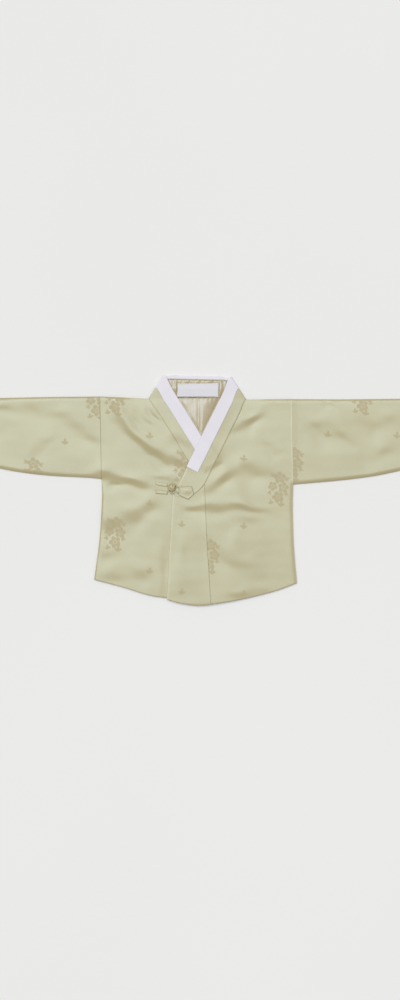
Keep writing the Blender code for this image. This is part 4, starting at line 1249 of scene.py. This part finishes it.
def lining_satin():
    """Thin gold lining satin, glossier than the outer cloth."""
    name = "Lining Satin"
    if name in bpy.data.materials:
        return bpy.data.materials[name]
    colours = bpy.context.scene.jeogori_colours
    material, tree, shader = new_material(name)
    cloth = add_node(tree, "TexCoord").outputs["Object"]
    threads = thread_noise(tree, cloth, LINING_STRETCH, 3.0)
    drift = noise(tree, cloth, 30.0, 2.0)
    base = tuple(colours.lining) + (1.0,)
    colour = mixed(tree, ramped(tree, drift, 0.35, 0.65), shade(base, 0.90), shade(base, 1.05))
    colour = mixed(tree, ramped(tree, threads, 0.3, 0.7, 0.0, 0.4), colour, shade(base, 1.12))
    roughness = ramped(tree, threads, 0.2, 0.8, *LINING_ROUGHNESS)
    connect(tree, shader, colour, roughness, threads, *LINING_RELIEF)
    set_sockets(shader, LINING_GLOSS)
    return material


def floor_material():
    colours = bpy.context.scene.jeogori_colours
    material, tree, shader = new_material("Pale Floor")
    place = add_node(tree, "TexCoord").outputs["Object"]
    drift = noise(tree, place, 1.2, 2.0)
    base = tuple(colours.floor) + (1.0,)
    tone = mixed(tree, ramped(tree, drift, 0.3, 0.7), shade(base, 0.99), shade(base, 1.01))
    tree.links.new(tone, shader.inputs["Base Color"])
    set_sockets(shader, {"Roughness": 0.9, "Specular IOR Level": 0.1})
    return material


def cord_satin():
    return satin("Satin Cord", False, CORD_LIGHTNESS, 0.0)


def strip_cloth():
    return plain_weave("White Strip Cotton", bpy.context.scene.jeogori_colours.strip, STRIP_WEAVE)


def label_cloth():
    return plain_weave("Woven Label", bpy.context.scene.jeogori_colours.label, LABEL_WEAVE)


def stitch_thread():
    return plain_weave("Label Thread", STITCH_COLOUR, THREAD_WEAVE)


# Settings


class JeogoriSizes(bpy.types.PropertyGroup):
    """Sizes of the cloth's form, in millimetres unless a unit says otherwise."""

    cell: bpy.props.FloatProperty(
        name="Mesh cell", description="Side of a mesh cell on the cloth, in millimetres",
        default=2.2, min=1.0, max=10.0)
    puff: bpy.props.FloatProperty(
        name="Puff", description="How far the fronts stand above the back, in millimetres",
        default=1.6, min=0.0, max=6.0)
    fold_strength: bpy.props.FloatProperty(
        name="Fold strength", description="How deep the folds are, as a share of their own depth",
        default=1.25, min=0.0, max=2.0, subtype="FACTOR")
    stitch_pitch: bpy.props.FloatProperty(
        name="Stitch pitch", description="Distance between the label's stitches, in millimetres",
        default=2.6, min=1.0, max=6.0)
    lens: bpy.props.FloatProperty(
        name="Lens", description="Focal length of the camera", default=85.0, min=20.0, max=300.0,
        subtype="DISTANCE_CAMERA", unit="CAMERA")
    key: bpy.props.FloatProperty(
        name="Window light", description="Strength of the soft light from the upper left",
        default=2.0, min=0.0, max=10.0)
    key_spread: bpy.props.FloatProperty(
        name="Window spread", description="How wide the window looks from the jacket",
        default=math.radians(48.0), min=0.0, max=math.pi, subtype="ANGLE", unit="ROTATION")
    fill: bpy.props.FloatProperty(
        name="Fill light", description="Strength of the even light from all round",
        default=0.40, min=0.0, max=3.0)


class JeogoriColours(bpy.types.PropertyGroup):
    """Base colours of the finishes."""

    satin: bpy.props.FloatVectorProperty(
        name="Satin", description="Ground of the outer satin", subtype="COLOR", size=3,
        default=(0.439, 0.368, 0.197), min=0.0, max=1.0)
    figure: bpy.props.FloatVectorProperty(
        name="Woven flowers", description="Matt figure woven into the satin", subtype="COLOR", size=3,
        default=(0.436, 0.350, 0.180), min=0.0, max=1.0)
    lining: bpy.props.FloatVectorProperty(
        name="Lining", description="Gold lining satin", subtype="COLOR", size=3,
        default=(0.48, 0.395, 0.225), min=0.0, max=1.0)
    strip: bpy.props.FloatVectorProperty(
        name="White strip", description="Cotton strip on the collar", subtype="COLOR", size=3,
        default=(0.79, 0.76, 0.82), min=0.0, max=1.0)
    label: bpy.props.FloatVectorProperty(
        name="Label", description="Blank woven label", subtype="COLOR", size=3,
        default=(0.72, 0.71, 0.75), min=0.0, max=1.0)
    floor: bpy.props.FloatVectorProperty(
        name="Floor", description="Plain pale floor", subtype="COLOR", size=3,
        default=(0.82, 0.82, 0.81), min=0.0, max=1.0)


# Pieces


class JEOGORI_OT_backs(bpy.types.Operator):
    """Lays out the two back panels, flat on the surface."""

    bl_idname = "jeogori.backs"
    bl_label = "Back Panels"

    def execute(self, context):
        cell = context.scene.jeogori_sizes.cell * HIDDEN_CELLS
        hem = spline(BACK_HEM)
        middle = int(np.argmin(np.abs(hem[:, 0])))
        hem[middle, 0] = 0.0
        neck_y = (axis_place(UNDER, 1.0)[1] + axis_place(OVER, 1.0)[1]) / 2.0 - GAP
        halves = (
            ("back_right", RIGHT_SIDE, RIGHT_SHOULDER, hem[:middle + 1], SEAM, UNDER),
            ("back_left", LEFT_SIDE, LEFT_SHOULDER, hem[middle:][::-1], -SEAM, OVER),
        )
        for name, side, shoulder, hem_run, inward, run in halves:
            outer = side_legs(side, shoulder, inward)
            outer[0][0] = hem_run[0] + (inward, 0.0)
            foot = hem_run[-1] - (inward, 0.0)
            bottom = np.vstack((outer[0][:1], hem_run[1:-1], foot))
            neck_point = axis_place(run, 1.0) - (0.0, 2.0 * GAP)
            neck_middle = np.array((-inward, neck_y))
            top = [np.vstack((outer[1][-1], neck_corner(run), neck_point)), line(neck_point, neck_middle)]
            centre = [line(foot, neck_middle)]
            if inward < 0.0:
                top = [leg[::-1] for leg in reversed(top)]
                grid, rims = panel_grid([bottom[::-1]], top, centre, outer, cell)
            else:
                grid, rims = panel_grid([bottom], top, outer, centre, cell)
            piece = shell("satin_" + name, grid, rims, lambda x, y: np.zeros_like(x), WALL, name,
                          satin("Jacquard Satin", True))
            dress(piece, "satin", name)
        return {"FINISHED"}


class JEOGORI_OT_fronts(bpy.types.Operator):
    """Lays out the two front panels, with their folds."""

    bl_idname = "jeogori.fronts"
    bl_label = "Front Panels"

    def execute(self, context):
        cell = context.scene.jeogori_sizes.cell
        collar = above_seam(UNDER, INNER_SEAM[1], cell)
        collar[0, 0] -= SEAM
        seam = line(np.array(INNER_SEAM[0]) - (SEAM, 0.0), collar[0])
        outer = side_legs(RIGHT_SIDE, RIGHT_SHOULDER, SEAM)
        bottom = spline(np.vstack((outer[0][0], RIGHT_HEM[1:-1], seam[0])))
        top = line(outer[1][-1], collar[-1])
        grid, rims = panel_grid([bottom], [top], outer, [seam, collar], cell)
        piece = shell("satin_front_right", grid, rims, under_height, WALL, "front_right",
                      satin("Jacquard Satin", True), edges=(SEAM_EDGE, FINE_EDGE, HEM_EDGE, SOFT_EDGE))
        dress(piece, "satin", "front_right")

        collar = above_seam(OVER, LAP_SEAM[-1], cell)
        seam = spline(np.vstack((LAP_SEAM[:-1], collar[0]))) + (SEAM, 0.0)
        collar[0] = seam[-1]
        outer = side_legs(LEFT_SIDE, LEFT_SHOULDER, -SEAM)
        bottom = spline(np.vstack((seam[0], LEFT_HEM[1:-1], outer[0][0])))
        top = line(collar[-1], outer[1][-1])
        grid, rims = panel_grid([bottom], [top], [seam, collar], outer, cell)
        # Its side seam and armhole edge gets a painted highlight
        piece = shell("satin_front_left", grid, rims, over_height, WALL, "front_left",
                      satin("Jacquard Satin", True), edges=(SEAM_EDGE, FINE_EDGE, HEM_EDGE, SOFT_EDGE),
                      pale=1)
        dress(piece, "satin", "front_left")
        return {"FINISHED"}


class JEOGORI_OT_laps(bpy.types.Operator):
    """Lays out the outer lap, and the inner lap below it."""

    bl_idname = "jeogori.laps"
    bl_label = "Laps"

    def execute(self, context):
        cell = context.scene.jeogori_sizes.cell
        top = below_seam(OVER, LAP_SEAM[-1], cell)[::-1]
        edge = spline(np.vstack((LAP_EDGE[:-1], top[0])))
        seam = spline(np.vstack((LAP_SEAM[:-1], top[-1]))) - (SEAM, 0.0)
        top[-1] = seam[-1]
        bottom = spline(np.vstack((edge[0], LAP_HEM[1:-1], seam[0])))
        grid, rims = panel_grid([bottom], [top], [edge], [seam], cell)
        # Its free edge gets a painted highlight
        piece = shell("satin_outer_lap", grid, rims, self.lap_height, WALL, "outer_lap",
                      satin("Jacquard Satin", True), edges=(FREE_EDGE, SEAM_EDGE, HEM_EDGE, SEAM_EDGE),
                      pale=0)
        dress(piece, "satin", "outer_lap")

        top = below_seam(UNDER, INNER_SEAM[1], cell)
        top[0, 0] += SEAM
        seam = line(np.array(INNER_SEAM[0]) + (SEAM, 0.0), top[0])
        edge = line(INNER_EDGE[0], top[-1])
        grid, rims = panel_grid([line(seam[0], edge[0])], [top], [seam], [edge],
                                cell * HIDDEN_CELLS)
        piece = shell("satin_inner_lap", grid, rims, under_height, WALL, "inner_lap",
                      satin("Jacquard Satin", True))
        dress(piece, "satin", "inner_lap")
        return {"FINISHED"}

    def lap_height(self, x, y):
        return over_height(x, y) + seam_lift(read_line(LAP_SEAM, y, 1, 0) - x)


class JEOGORI_OT_sleeves(bpy.types.Operator):
    """Lays out the two sleeves as flattened tubes, open at the armhole and the cuff."""

    bl_idname = "jeogori.sleeves"
    bl_label = "Sleeves"

    def execute(self, context):
        cell = context.scene.jeogori_sizes.cell
        sleeves = (
            ("sleeve_right", RIGHT_SLEEVE_TOP, RIGHT_SLEEVE_LOW, -1.0),
            ("sleeve_left", LEFT_SLEEVE_TOP, LEFT_SLEEVE_LOW, 1.0),
        )
        for name, top_points, low_points, outward in sleeves:
            tops, lows = spline(top_points), spline(low_points)
            tops[0, 0] += outward * SEAM
            lows[0, 0] += outward * SEAM
            along = spread((travelled(tops)[-1] + travelled(lows)[-1]) / 2.0, cell)
            piece = self.tube(name, places(tops, along), places(lows, along), along, cell)
            dress(piece, "satin", name)
        return {"FINISHED"}

    def tube(self, name, tops, lows, along, cell):
        """Outer and inner walls that meet in a rounded rim at both open ends."""
        edge_middle = STEP_UP / 2.0 + WALL / 2.0
        across = spread(float(np.mean(np.linalg.norm(tops - lows, axis=1))), cell)
        widths = np.linalg.norm(tops - lows, axis=1)[:, None]
        length = travelled(tops)[-1]
        end = np.minimum(along, 1.0 - along)[:, None] * length
        drop = rim_drop(end, *SEAM_EDGE)
        walls = []
        for inset in (0.0, WALL):
            low = lows + unit((0.0, 1.0)) * inset
            high = tops - unit((0.0, 1.0)) * inset
            grid = low[:, None] + (high - low)[:, None] * across[None, :, None]
            x, y = grid[..., 0], grid[..., 1]
            rim = np.minimum(across, 1.0 - across)[None] * widths
            reach = edge_middle - inset
            swell = np.sqrt(1.0 - (1.0 - np.clip(rim / reach, 0.0, 1.0)) ** 2)
            crown = front_height(x, y) + seam_lift(along[:, None] * length) + WALL - inset - edge_middle
            side = 1.0 if inset == 0.0 else -1.0
            upper = edge_middle + crown * swell - side * drop
            lower = edge_middle - (edge_middle - inset) * swell + side * drop
            ring_x = np.concatenate((x, x[:, -2:0:-1]), axis=1)
            ring_y = np.concatenate((y, y[:, -2:0:-1]), axis=1)
            ring_z = np.concatenate((upper, lower[:, -2:0:-1]), axis=1)
            walls.append(np.stack((ring_x, ring_y, ring_z), -1))
        stations, around, _ = walls[0].shape
        faces = []
        for number, start in enumerate((0, stations * around)):
            cells = ring_walls(np.arange(stations * around).reshape(stations, around) + start)
            faces += (cells if number == 0 else cells[:, ::-1]).tolist()
        for station in (0, stations - 1):
            outer = np.arange(around) + station * around
            inner = outer + stations * around
            rim = np.stack((outer, np.roll(outer, -1), np.roll(inner, -1), inner), -1)
            faces += rim.tolist()
        points = np.concatenate([wall.reshape(-1, 3) for wall in walls])
        cloth = cloth_places(name, points[:, 0], points[:, 1])
        return write_piece("satin_" + name, points, faces, cloth, satin("Jacquard Satin", True))


class JEOGORI_OT_collar(bpy.types.Operator):
    """Folds the collar band round the neck and lays the white strip over its upper half."""

    bl_idname = "jeogori.collar"
    bl_label = "Collar"

    def execute(self, context):
        cell = context.scene.jeogori_sizes.cell
        half = WALL / 2.0
        inset = STRIP_WALL + GAP
        top, low = (inset, half), (BAND_WIDTH, half)
        back_top, back_low = (inset, -half), (BAND_WIDTH, -half)
        radii = BAND_RADII
        face = [(*top, radii[0]), *between(top, low, BAND_CELLS), (*low, radii[1])]
        lining = [(*back_low, radii[2]), *between(back_low, back_top, BAND_CELLS), (*back_top, radii[3])]
        outline = soften(face + lining)
        shares, offsets = outline[:, 0] / BAND_WIDTH, outline[:, 1]
        lifts = seam_lift((1.0 - shares) * BAND_WIDTH)
        distances = np.concatenate((strip_distances(cell), rounded_distances()))
        standing = dict(zip((OVER, UNDER), SEAM_STANDS))

        def band_section(run, down):
            return shares, offsets + lifts * standing[run] * smoothstep(0.0, SET_IN_AT, down)

        sections = collar_sections(distances, band_section)
        travel = travelled(sections[:, len(face) // 2])
        cloth = np.zeros((len(sections), len(shares), 3))
        cloth[..., 0] = travel[:, None] * MM
        cloth[..., 1] = shares[None] * BAND_WIDTH * MM
        piece = loft("satin_collar_band", sections, cloth.reshape(-1, 3), satin("Plain Satin", False))
        # Painted highlight along the band's upper edge, beside the strip
        paint_edge_highlight(piece, np.tile(shares * BAND_WIDTH - inset, len(sections)))
        dress(piece, "satin", "collar_band")

        sections = collar_sections(strip_distances(cell), self.strip_section)
        piece = loft("white_collar_strip", sections, None, strip_cloth())
        piece.data.set_sharp_from_angle(angle=STRIP_SHARP)
        dress(piece, "white_strip", "collar_strip")
        return {"FINISHED"}

    def strip_section(self, _run, down):
        """The strip's outer face, its lip over the band's edge and, at the back, its return."""
        low = WALL / 2.0 + GAP
        high = low + STRIP_WALL
        foot = STRIP_SHARE * BAND_WIDTH
        tuck = float(smoothstep(0.0, LIP_AT, down))
        rise = float(smoothstep(LIP_AT, 2.0 * LIP_AT, down))
        returned = STRIP_WALL + (RETURN_WIDTH - STRIP_WALL) * (1.0 - tuck)
        deep = -high + (high - WALL / 2.0) * rise
        shallow = -low * (1.0 - LIP_LIFT * rise)
        radii = STRIP_RADII
        face = [(foot, high, radii[0]), *between((foot, high), (0.0, high), STRIP_CELLS)]
        face.append((0.0, high, radii[1]))
        turn = [(0.0, deep, radii[2]), (returned, deep, radii[3]), (returned, shallow, radii[4])]
        turn.append((STRIP_WALL, shallow + LIP_SLOPE * rise, 0.0))
        inner = [(STRIP_WALL, low, 0.0), *between((STRIP_WALL, low), (foot, low), STRIP_CELLS)]
        inner.append((foot, low, radii[5]))
        outline = soften(face + turn + inner)
        return outline[:, 0] / BAND_WIDTH, outline[:, 1]


def tucked_edge(run, y, tuck):
    """X of a run's upper edge at a level of Y, moved under the run by a tuck."""
    down = (run.top[1] - y) / -run.direction[1]
    return run.top[0] + run.direction[0] * down - tuck * run.across[0] / run.direction[1]


def label_shade(x, y, margin):
    """One over the label's footprint, falling to zero over a margin outside it."""
    left, low = LABEL_CORNERS[0]
    right, high = LABEL_CORNERS[2]
    inside = np.minimum(np.minimum(x - left, right - x), np.minimum(y - low, high - y))
    return smoothstep(-margin, 0.0, inside)


def facing_height(x, y):
    """Underside of what lies on the band's inner face at the back."""
    part = back_part(x, 0.5)
    top, foot = back_place(part, 0.0)[..., 1], back_place(part, 1.0)[..., 1]
    return back_height((top - y) / (top - foot)) + WALL / 2.0 + GAP


class JEOGORI_OT_neck(bpy.types.Operator):
    """Gathers the lining inside the neck, with its centre seam, and lays the facing above it."""

    bl_idname = "jeogori.neck"
    bl_label = "Neck Lining"

    def execute(self, context):
        self.lining()
        self.facing()
        return {"FINISHED"}

    def lining(self):
        rows = np.linspace(LINING_FOOT, LINING_TOP, LINING_ROWS)
        start, end = tucked_edge(UNDER, rows, LINING_TUCK), tucked_edge(OVER, rows, LINING_TUCK)
        narrow = end - start < LINING_TUCK
        middle = (start + end) / 2.0
        start = np.where(narrow, middle - LINING_TUCK / 2.0, start)
        end = np.where(narrow, middle + LINING_TUCK / 2.0, end)
        across = spread(LINING_WIDTH, NECK_CELLS[0])
        x = start[:, None] + (end - start)[:, None] * across[None]
        y = np.broadcast_to(rows[:, None], x.shape)
        grid = np.stack((x, y), -1)
        width = (end - start)[:, None]
        rims = (across[None] * width, (1.0 - across[None]) * width, y - LINING_FOOT, LINING_TOP - y)
        piece = shell("lining_neck", grid, rims, self.lining_height, WALL, "plain", lining_satin(),
                      edges=(SOFT_EDGE, SOFT_EDGE, SOFT_EDGE, FINE_EDGE))
        dress(piece, "lining", "neck_lining")

    def lining_height(self, x, y):
        """Gathers below the neck seam that run out into soft folds, and a sewn centre seam."""
        left, right = tucked_edge(UNDER, y, 0.0), tucked_edge(OVER, y, 0.0)
        inside = np.minimum(x - left, right - x)
        free = smoothstep(0.0, LINING_FREE, inside)
        below = LINING_TOP - y
        swayed = sway(x, y, LINING_SWAY)
        wave = crests(2.0 * math.pi * GATHERS * swayed / LINING_WIDTH + GATHER_PHASE)
        lift = GATHER_HEIGHT * wave * np.exp(-below / GATHER_REACH)
        halves = np.minimum((x - left) * TENT_SLOPES[0], (right - x) * TENT_SLOPES[1])
        lift += TENT_HEIGHT * np.tanh(np.maximum(halves, 0.0) / TENT_HEIGHT)
        depth, length, slant, start = SOFT_WAVE
        soft = crests((swayed - slant * y + start) / length)
        lift += depth * soft * smoothstep(*SOFT_WAVE_FROM, below)
        ridge, beside, ridge_width = LINING_RIDGE
        groove, groove_width = LINING_GROOVE
        lift += ridge * np.exp(-((x - LINING_SEAM_X - beside) / ridge_width) ** 2)
        lift -= groove * np.exp(-((x - LINING_SEAM_X) / groove_width) ** 2)
        return STEP_UP + np.maximum(lift, 0.0) * free

    def facing(self):
        shares = np.linspace(FACING_FOOT, (RETURN_WIDTH + STEP_UP) / BAND_WIDTH, FACING_ROWS)
        across = spread(FACING_WIDTH, NECK_CELLS[1])
        grid = []
        for share in shares:
            level = back_place(0.5, share)[1]
            ends = []
            for run in (UNDER, OVER):
                tucked = abs(tucked_edge(run, level, 0.0)) + FACING_TUCK
                fold = abs(axis_place(run, share)[0]) - 2.0 * STRIP_WALL
                ends.append(math.copysign(min(tucked, fold), run.top[0]))
            x = ends[0] + (ends[1] - ends[0]) * across
            y = back_place(back_part(x, share), np.full_like(x, share))[..., 1]
            grid.append(np.column_stack((x, y)))
        grid = np.array(grid)
        width = np.linalg.norm(grid[:, -1] - grid[:, 0], axis=1)[:, None]
        height = np.abs(grid[-1, :, 1] - grid[0, :, 1])[None]
        v = np.linspace(0.0, 1.0, len(shares))[:, None]
        rims = (across[None] * width, (1.0 - across[None]) * width, v * height, (1.0 - v) * height)
        piece = shell("lining_neck_facing", grid, rims, self.facing_form, WALL, "plain", lining_satin(),
                      edges=(SOFT_EDGE, SOFT_EDGE, FINE_EDGE, SOFT_EDGE))
        dress(piece, "lining", "neck_facing")

    def facing_form(self, x, y):
        """The facing's uneven pleats, pressed flat where the label lies on them."""
        swayed = sway(x, y, FACING_SWAY)
        turns, length, phase = PLEAT_TURNS
        fine, broad = crests(swayed * turns), crests(swayed / length + phase)
        pleats = PLEAT_HEIGHT * (PLEAT_SHARES[0] * fine + PLEAT_SHARES[1] * broad)
        left, right = tucked_edge(UNDER, y, 0.0), tucked_edge(OVER, y, 0.0)
        free = smoothstep(*FACING_FREE, np.minimum(x - left, right - x))
        return facing_height(x, y) + pleats * free * (1.0 - label_shade(x, y, LABEL_MARGIN))


class JEOGORI_OT_label(bpy.types.Operator):
    """Sews the blank woven label on the facing."""

    bl_idname = "jeogori.label"
    bl_label = "Label"

    def execute(self, context):
        sizes = context.scene.jeogori_sizes
        foot, right, top_right, top_left = (np.array(corner) for corner in LABEL_CORNERS)
        grid, rims = rectangle_grid(foot, right, top_right, top_left, LABEL_CELL)
        piece = shell("label_blank", grid, rims, self.underside, WALL, "plain", label_cloth(),
                      roll=LABEL_ROLL)
        dress(piece, "label", "label")
        inset = STITCH_INSET
        corners = [foot + (inset, inset), right + (-inset, inset),
                   top_right + (-inset, -inset), top_left + (inset, -inset)]
        parts = []
        for start, end in zip(corners, corners[1:] + corners[:1]):
            parts += stitches(start, end, self.surface, sizes.stitch_pitch, STITCH_LENGTH, STITCH_RADIUS)
        points, faces = joined(parts)
        thread = write_piece("label_stitches", points, faces, None, stitch_thread())
        dress(thread, "label")
        return {"FINISHED"}

    def underside(self, x, y):
        rise, length, phase, height = LABEL_WAVE
        wave = rise + rise * np.sin(x / length + phase) * np.cos(y / height)
        return facing_height(x, y) + STEP_UP + LABEL_CLEARANCE + wave

    def surface(self, x, y):
        return self.underside(x, y) + WALL


class JEOGORI_OT_knot(bpy.types.Operator):
    """Ties the knot button from one cord and sews its two tails on the right front."""

    bl_idname = "jeogori.knot"
    bl_label = "Knot Button"

    def execute(self, context):
        self.ball()
        self.tails()
        return {"FINISHED"}

    def ball(self):
        """A woven ball: one cord that passes over and under itself, on a small core."""
        rest = float(front_height(np.array(KNOT_CENTRE[0]), np.array(KNOT_CENTRE[1]))) + STEP_UP
        centre = np.array((*KNOT_CENTRE, rest + KNOT_RADII[2]))
        turn = np.linspace(0.0, 2.0 * math.pi, STRAND_POINTS, endpoint=False)
        longitude = KNOT_LEADS * turn
        latitude = KNOT_LATITUDE * np.sin(KNOT_BIGHTS * turn)
        outward = np.column_stack((np.cos(latitude) * np.cos(longitude), np.sin(latitude),
                                   np.cos(latitude) * np.sin(longitude)))
        weave = STRAND_WEAVE * np.cos(KNOT_BIGHTS * (KNOT_LEADS - 1) * turn + math.pi / 4.0)
        reach = np.array(KNOT_RADII) - STRAND[1]
        route = centre + outward * reach * (1.0 + weave[:, None])
        strand = tube_mesh(route, outward, STRAND[0], STRAND[1], STRAND_SIDES, True)
        core = ball_mesh(centre, np.array(KNOT_RADII) - KNOT_CORE, *CORE_CELLS)
        points, faces = joined([strand, core])
        piece = write_piece("knot_ball", points, faces, None, cord_satin())
        dress(piece, "satin", "knot")

    def tails(self):
        side = np.array((0.0, CORD_WIDTH / 2.0))
        cords = (("upper", CORD_UPPER, CORD_HEIGHTS[0]), ("lower", CORD_LOWER, CORD_HEIGHTS[1]))
        for name, (tail_y, head_y), height in cords:
            tail, head = np.array((CORD_TAIL_X, tail_y)), np.array((CORD_HEAD_X, head_y))
            grid, rims = rectangle_grid(tail - side, head - side, head + side, tail + side, CORD_CELL)
            piece = shell("cord_tail_" + name, grid, rims, self.tail_height, height, "plain",
                          cord_satin(), roll=CORD_ROLL, edges=((CORD_EDGE, height / 2.0),) * 4)
            dress(piece, "satin", "knot_cord_" + name)

    def tail_height(self, x, y):
        return front_height(x, y) + STEP_UP


class JEOGORI_OT_loop(bpy.types.Operator):
    """Runs the button loop round the knot and sews its tab on the left front."""

    bl_idname = "jeogori.loop"
    bl_label = "Button Loop"

    def execute(self, context):
        angles = np.linspace(LOOP_OPENING, 2.0 * math.pi - LOOP_OPENING, 72)
        around = np.column_stack((KNOT_CENTRE[0] + LOOP_SHIFT[0] + LOOP_RADII[0] * np.cos(angles),
                                  KNOT_CENTRE[1] + LOOP_SHIFT[1] + LOOP_RADII[1] * np.sin(angles)))
        start, end = np.array((LOOP_TAB_X, LOOP_TAB_Y[0])), np.array((LOOP_TAB_X, LOOP_TAB_Y[1]))
        lead_in = start + (around[0] - start) * np.linspace(0.0, 0.9, 6)[:, None]
        lead_out = around[-1] + (end - around[-1]) * np.linspace(0.1, 1.0, 6)[:, None]
        flat = np.vstack((lead_in, around, lead_out))
        climb = STEP_UP * smoothstep(*LAP_CLIMB, flat[:, 0])
        height = front_height(flat[:, 0], flat[:, 1]) + STEP_UP + climb + LOOP_RADIUS + LOOP_CLEARANCE
        route = np.column_stack((flat, height))
        ups = np.tile((0.0, 0.0, 1.0), (len(route), 1))
        points, faces = tube_mesh(route, ups, LOOP_RADIUS, LOOP_RADIUS, LOOP_SIDES, False)
        piece = write_piece("cord_button_loop", points, faces, None, cord_satin())
        dress(piece, "satin", "button_loop")

        foot, tip, far, top_right, top_left = (np.array(corner) for corner in TAB_CORNERS)
        right = np.array((tip, far, top_right))
        grid, rims = panel_grid([line(foot, tip)], [line(top_left, top_right)],
                                [line(foot, top_left)], [right], TAB_CELL)
        tab = shell("satin_loop_tab", grid, rims, self.tab_height, TAB_WALL, "plain",
                    satin("Plain Satin", False), roll=TAB_ROLL)
        dress(tab, "satin", "loop_tab")
        return {"FINISHED"}

    def tab_height(self, x, y):
        along = (x - TAB_MIDDLE[0]) / TAB_CROWN_REACH[0]
        upward = (y - TAB_MIDDLE[1]) / TAB_CROWN_REACH[1]
        return over_height(x, y) + STEP_UP + TAB_CROWN * np.exp(-along ** 2 - upward ** 2)


class JEOGORI_OT_stage(bpy.types.Operator):
    """Sets the pale floor, the soft studio light and the camera above the jacket."""

    bl_idname = "jeogori.stage"
    bl_label = "Stage"

    def execute(self, context):
        sizes = context.scene.jeogori_sizes
        bpy.ops.mesh.primitive_plane_add(size=FLOOR_SIZE * MM, location=(0.0, 0.0, -FLOOR_DROP * MM))
        floor = context.active_object
        floor.name = "pale_floor"
        floor.data.materials.append(floor_material())
        world = context.scene.world or bpy.data.worlds.new("Studio")
        context.scene.world = world
        world.use_nodes = True
        background = world.node_tree.nodes["Background"]
        background.inputs["Color"].default_value = (1.0, 1.0, 1.0, 1.0)
        background.inputs["Strength"].default_value = sizes.fill
        light = bpy.data.lights.new("window_light", "SUN")
        light.energy = sizes.key
        light.angle = sizes.key_spread
        lamp = bpy.data.objects.new("window_light", light)
        lamp.rotation_mode = "QUATERNION"
        lamp.rotation_quaternion = Vector(KEY_FROM).to_track_quat("Z", "Y")
        context.scene.collection.objects.link(lamp)
        context.scene.view_settings.view_transform = "Standard"
        self.camera(context, sizes)
        return {"FINISHED"}

    def camera(self, context, sizes):
        lens = bpy.data.cameras.new("photo_camera")
        lens.sensor_width = SENSOR
        lens.sensor_fit = "AUTO"
        lens.lens = sizes.lens
        camera = bpy.data.objects.new("photo_camera", lens)
        height = VIEW_HEIGHT * MM * sizes.lens / SENSOR
        camera.location = (VIEW_CENTRE[0] * MM, VIEW_CENTRE[1] * MM, height)
        context.scene.collection.objects.link(camera)
        context.scene.camera = camera


STEPS = (
    JEOGORI_OT_stage,
    JEOGORI_OT_backs,
    JEOGORI_OT_fronts,
    JEOGORI_OT_laps,
    JEOGORI_OT_sleeves,
    JEOGORI_OT_collar,
    JEOGORI_OT_neck,
    JEOGORI_OT_label,
    JEOGORI_OT_knot,
    JEOGORI_OT_loop,
)


class JEOGORI_PT_panel(bpy.types.Panel):
    """Sizes, colours and the steps that dress the jacket."""

    bl_idname = "JEOGORI_PT_panel"
    bl_label = "Jeogori"
    bl_space_type = "VIEW_3D"
    bl_region_type = "UI"
    bl_category = "Jeogori"

    def draw(self, context):
        layout = self.layout
        for group in (context.scene.jeogori_sizes, context.scene.jeogori_colours):
            for name in group.__annotations__:
                layout.prop(group, name)
        for step in STEPS:
            layout.operator(step.bl_idname)


CLASSES = (JeogoriSizes, JeogoriColours, *STEPS, JEOGORI_PT_panel)


def register():
    for kind in CLASSES:
        bpy.utils.register_class(kind)
    bpy.types.Scene.jeogori_sizes = bpy.props.PointerProperty(type=JeogoriSizes)
    bpy.types.Scene.jeogori_colours = bpy.props.PointerProperty(type=JeogoriColours)


def unregister():
    del bpy.types.Scene.jeogori_colours
    del bpy.types.Scene.jeogori_sizes
    for kind in reversed(CLASSES):
        bpy.utils.unregister_class(kind)


def main():
    register()
    bpy.ops.jeogori.stage()
    bpy.ops.jeogori.backs()
    bpy.ops.jeogori.fronts()
    bpy.ops.jeogori.laps()
    bpy.ops.jeogori.sleeves()
    bpy.ops.jeogori.collar()
    bpy.ops.jeogori.neck()
    bpy.ops.jeogori.label()
    bpy.ops.jeogori.knot()
    bpy.ops.jeogori.loop()


if __name__ == "__main__":
    main()
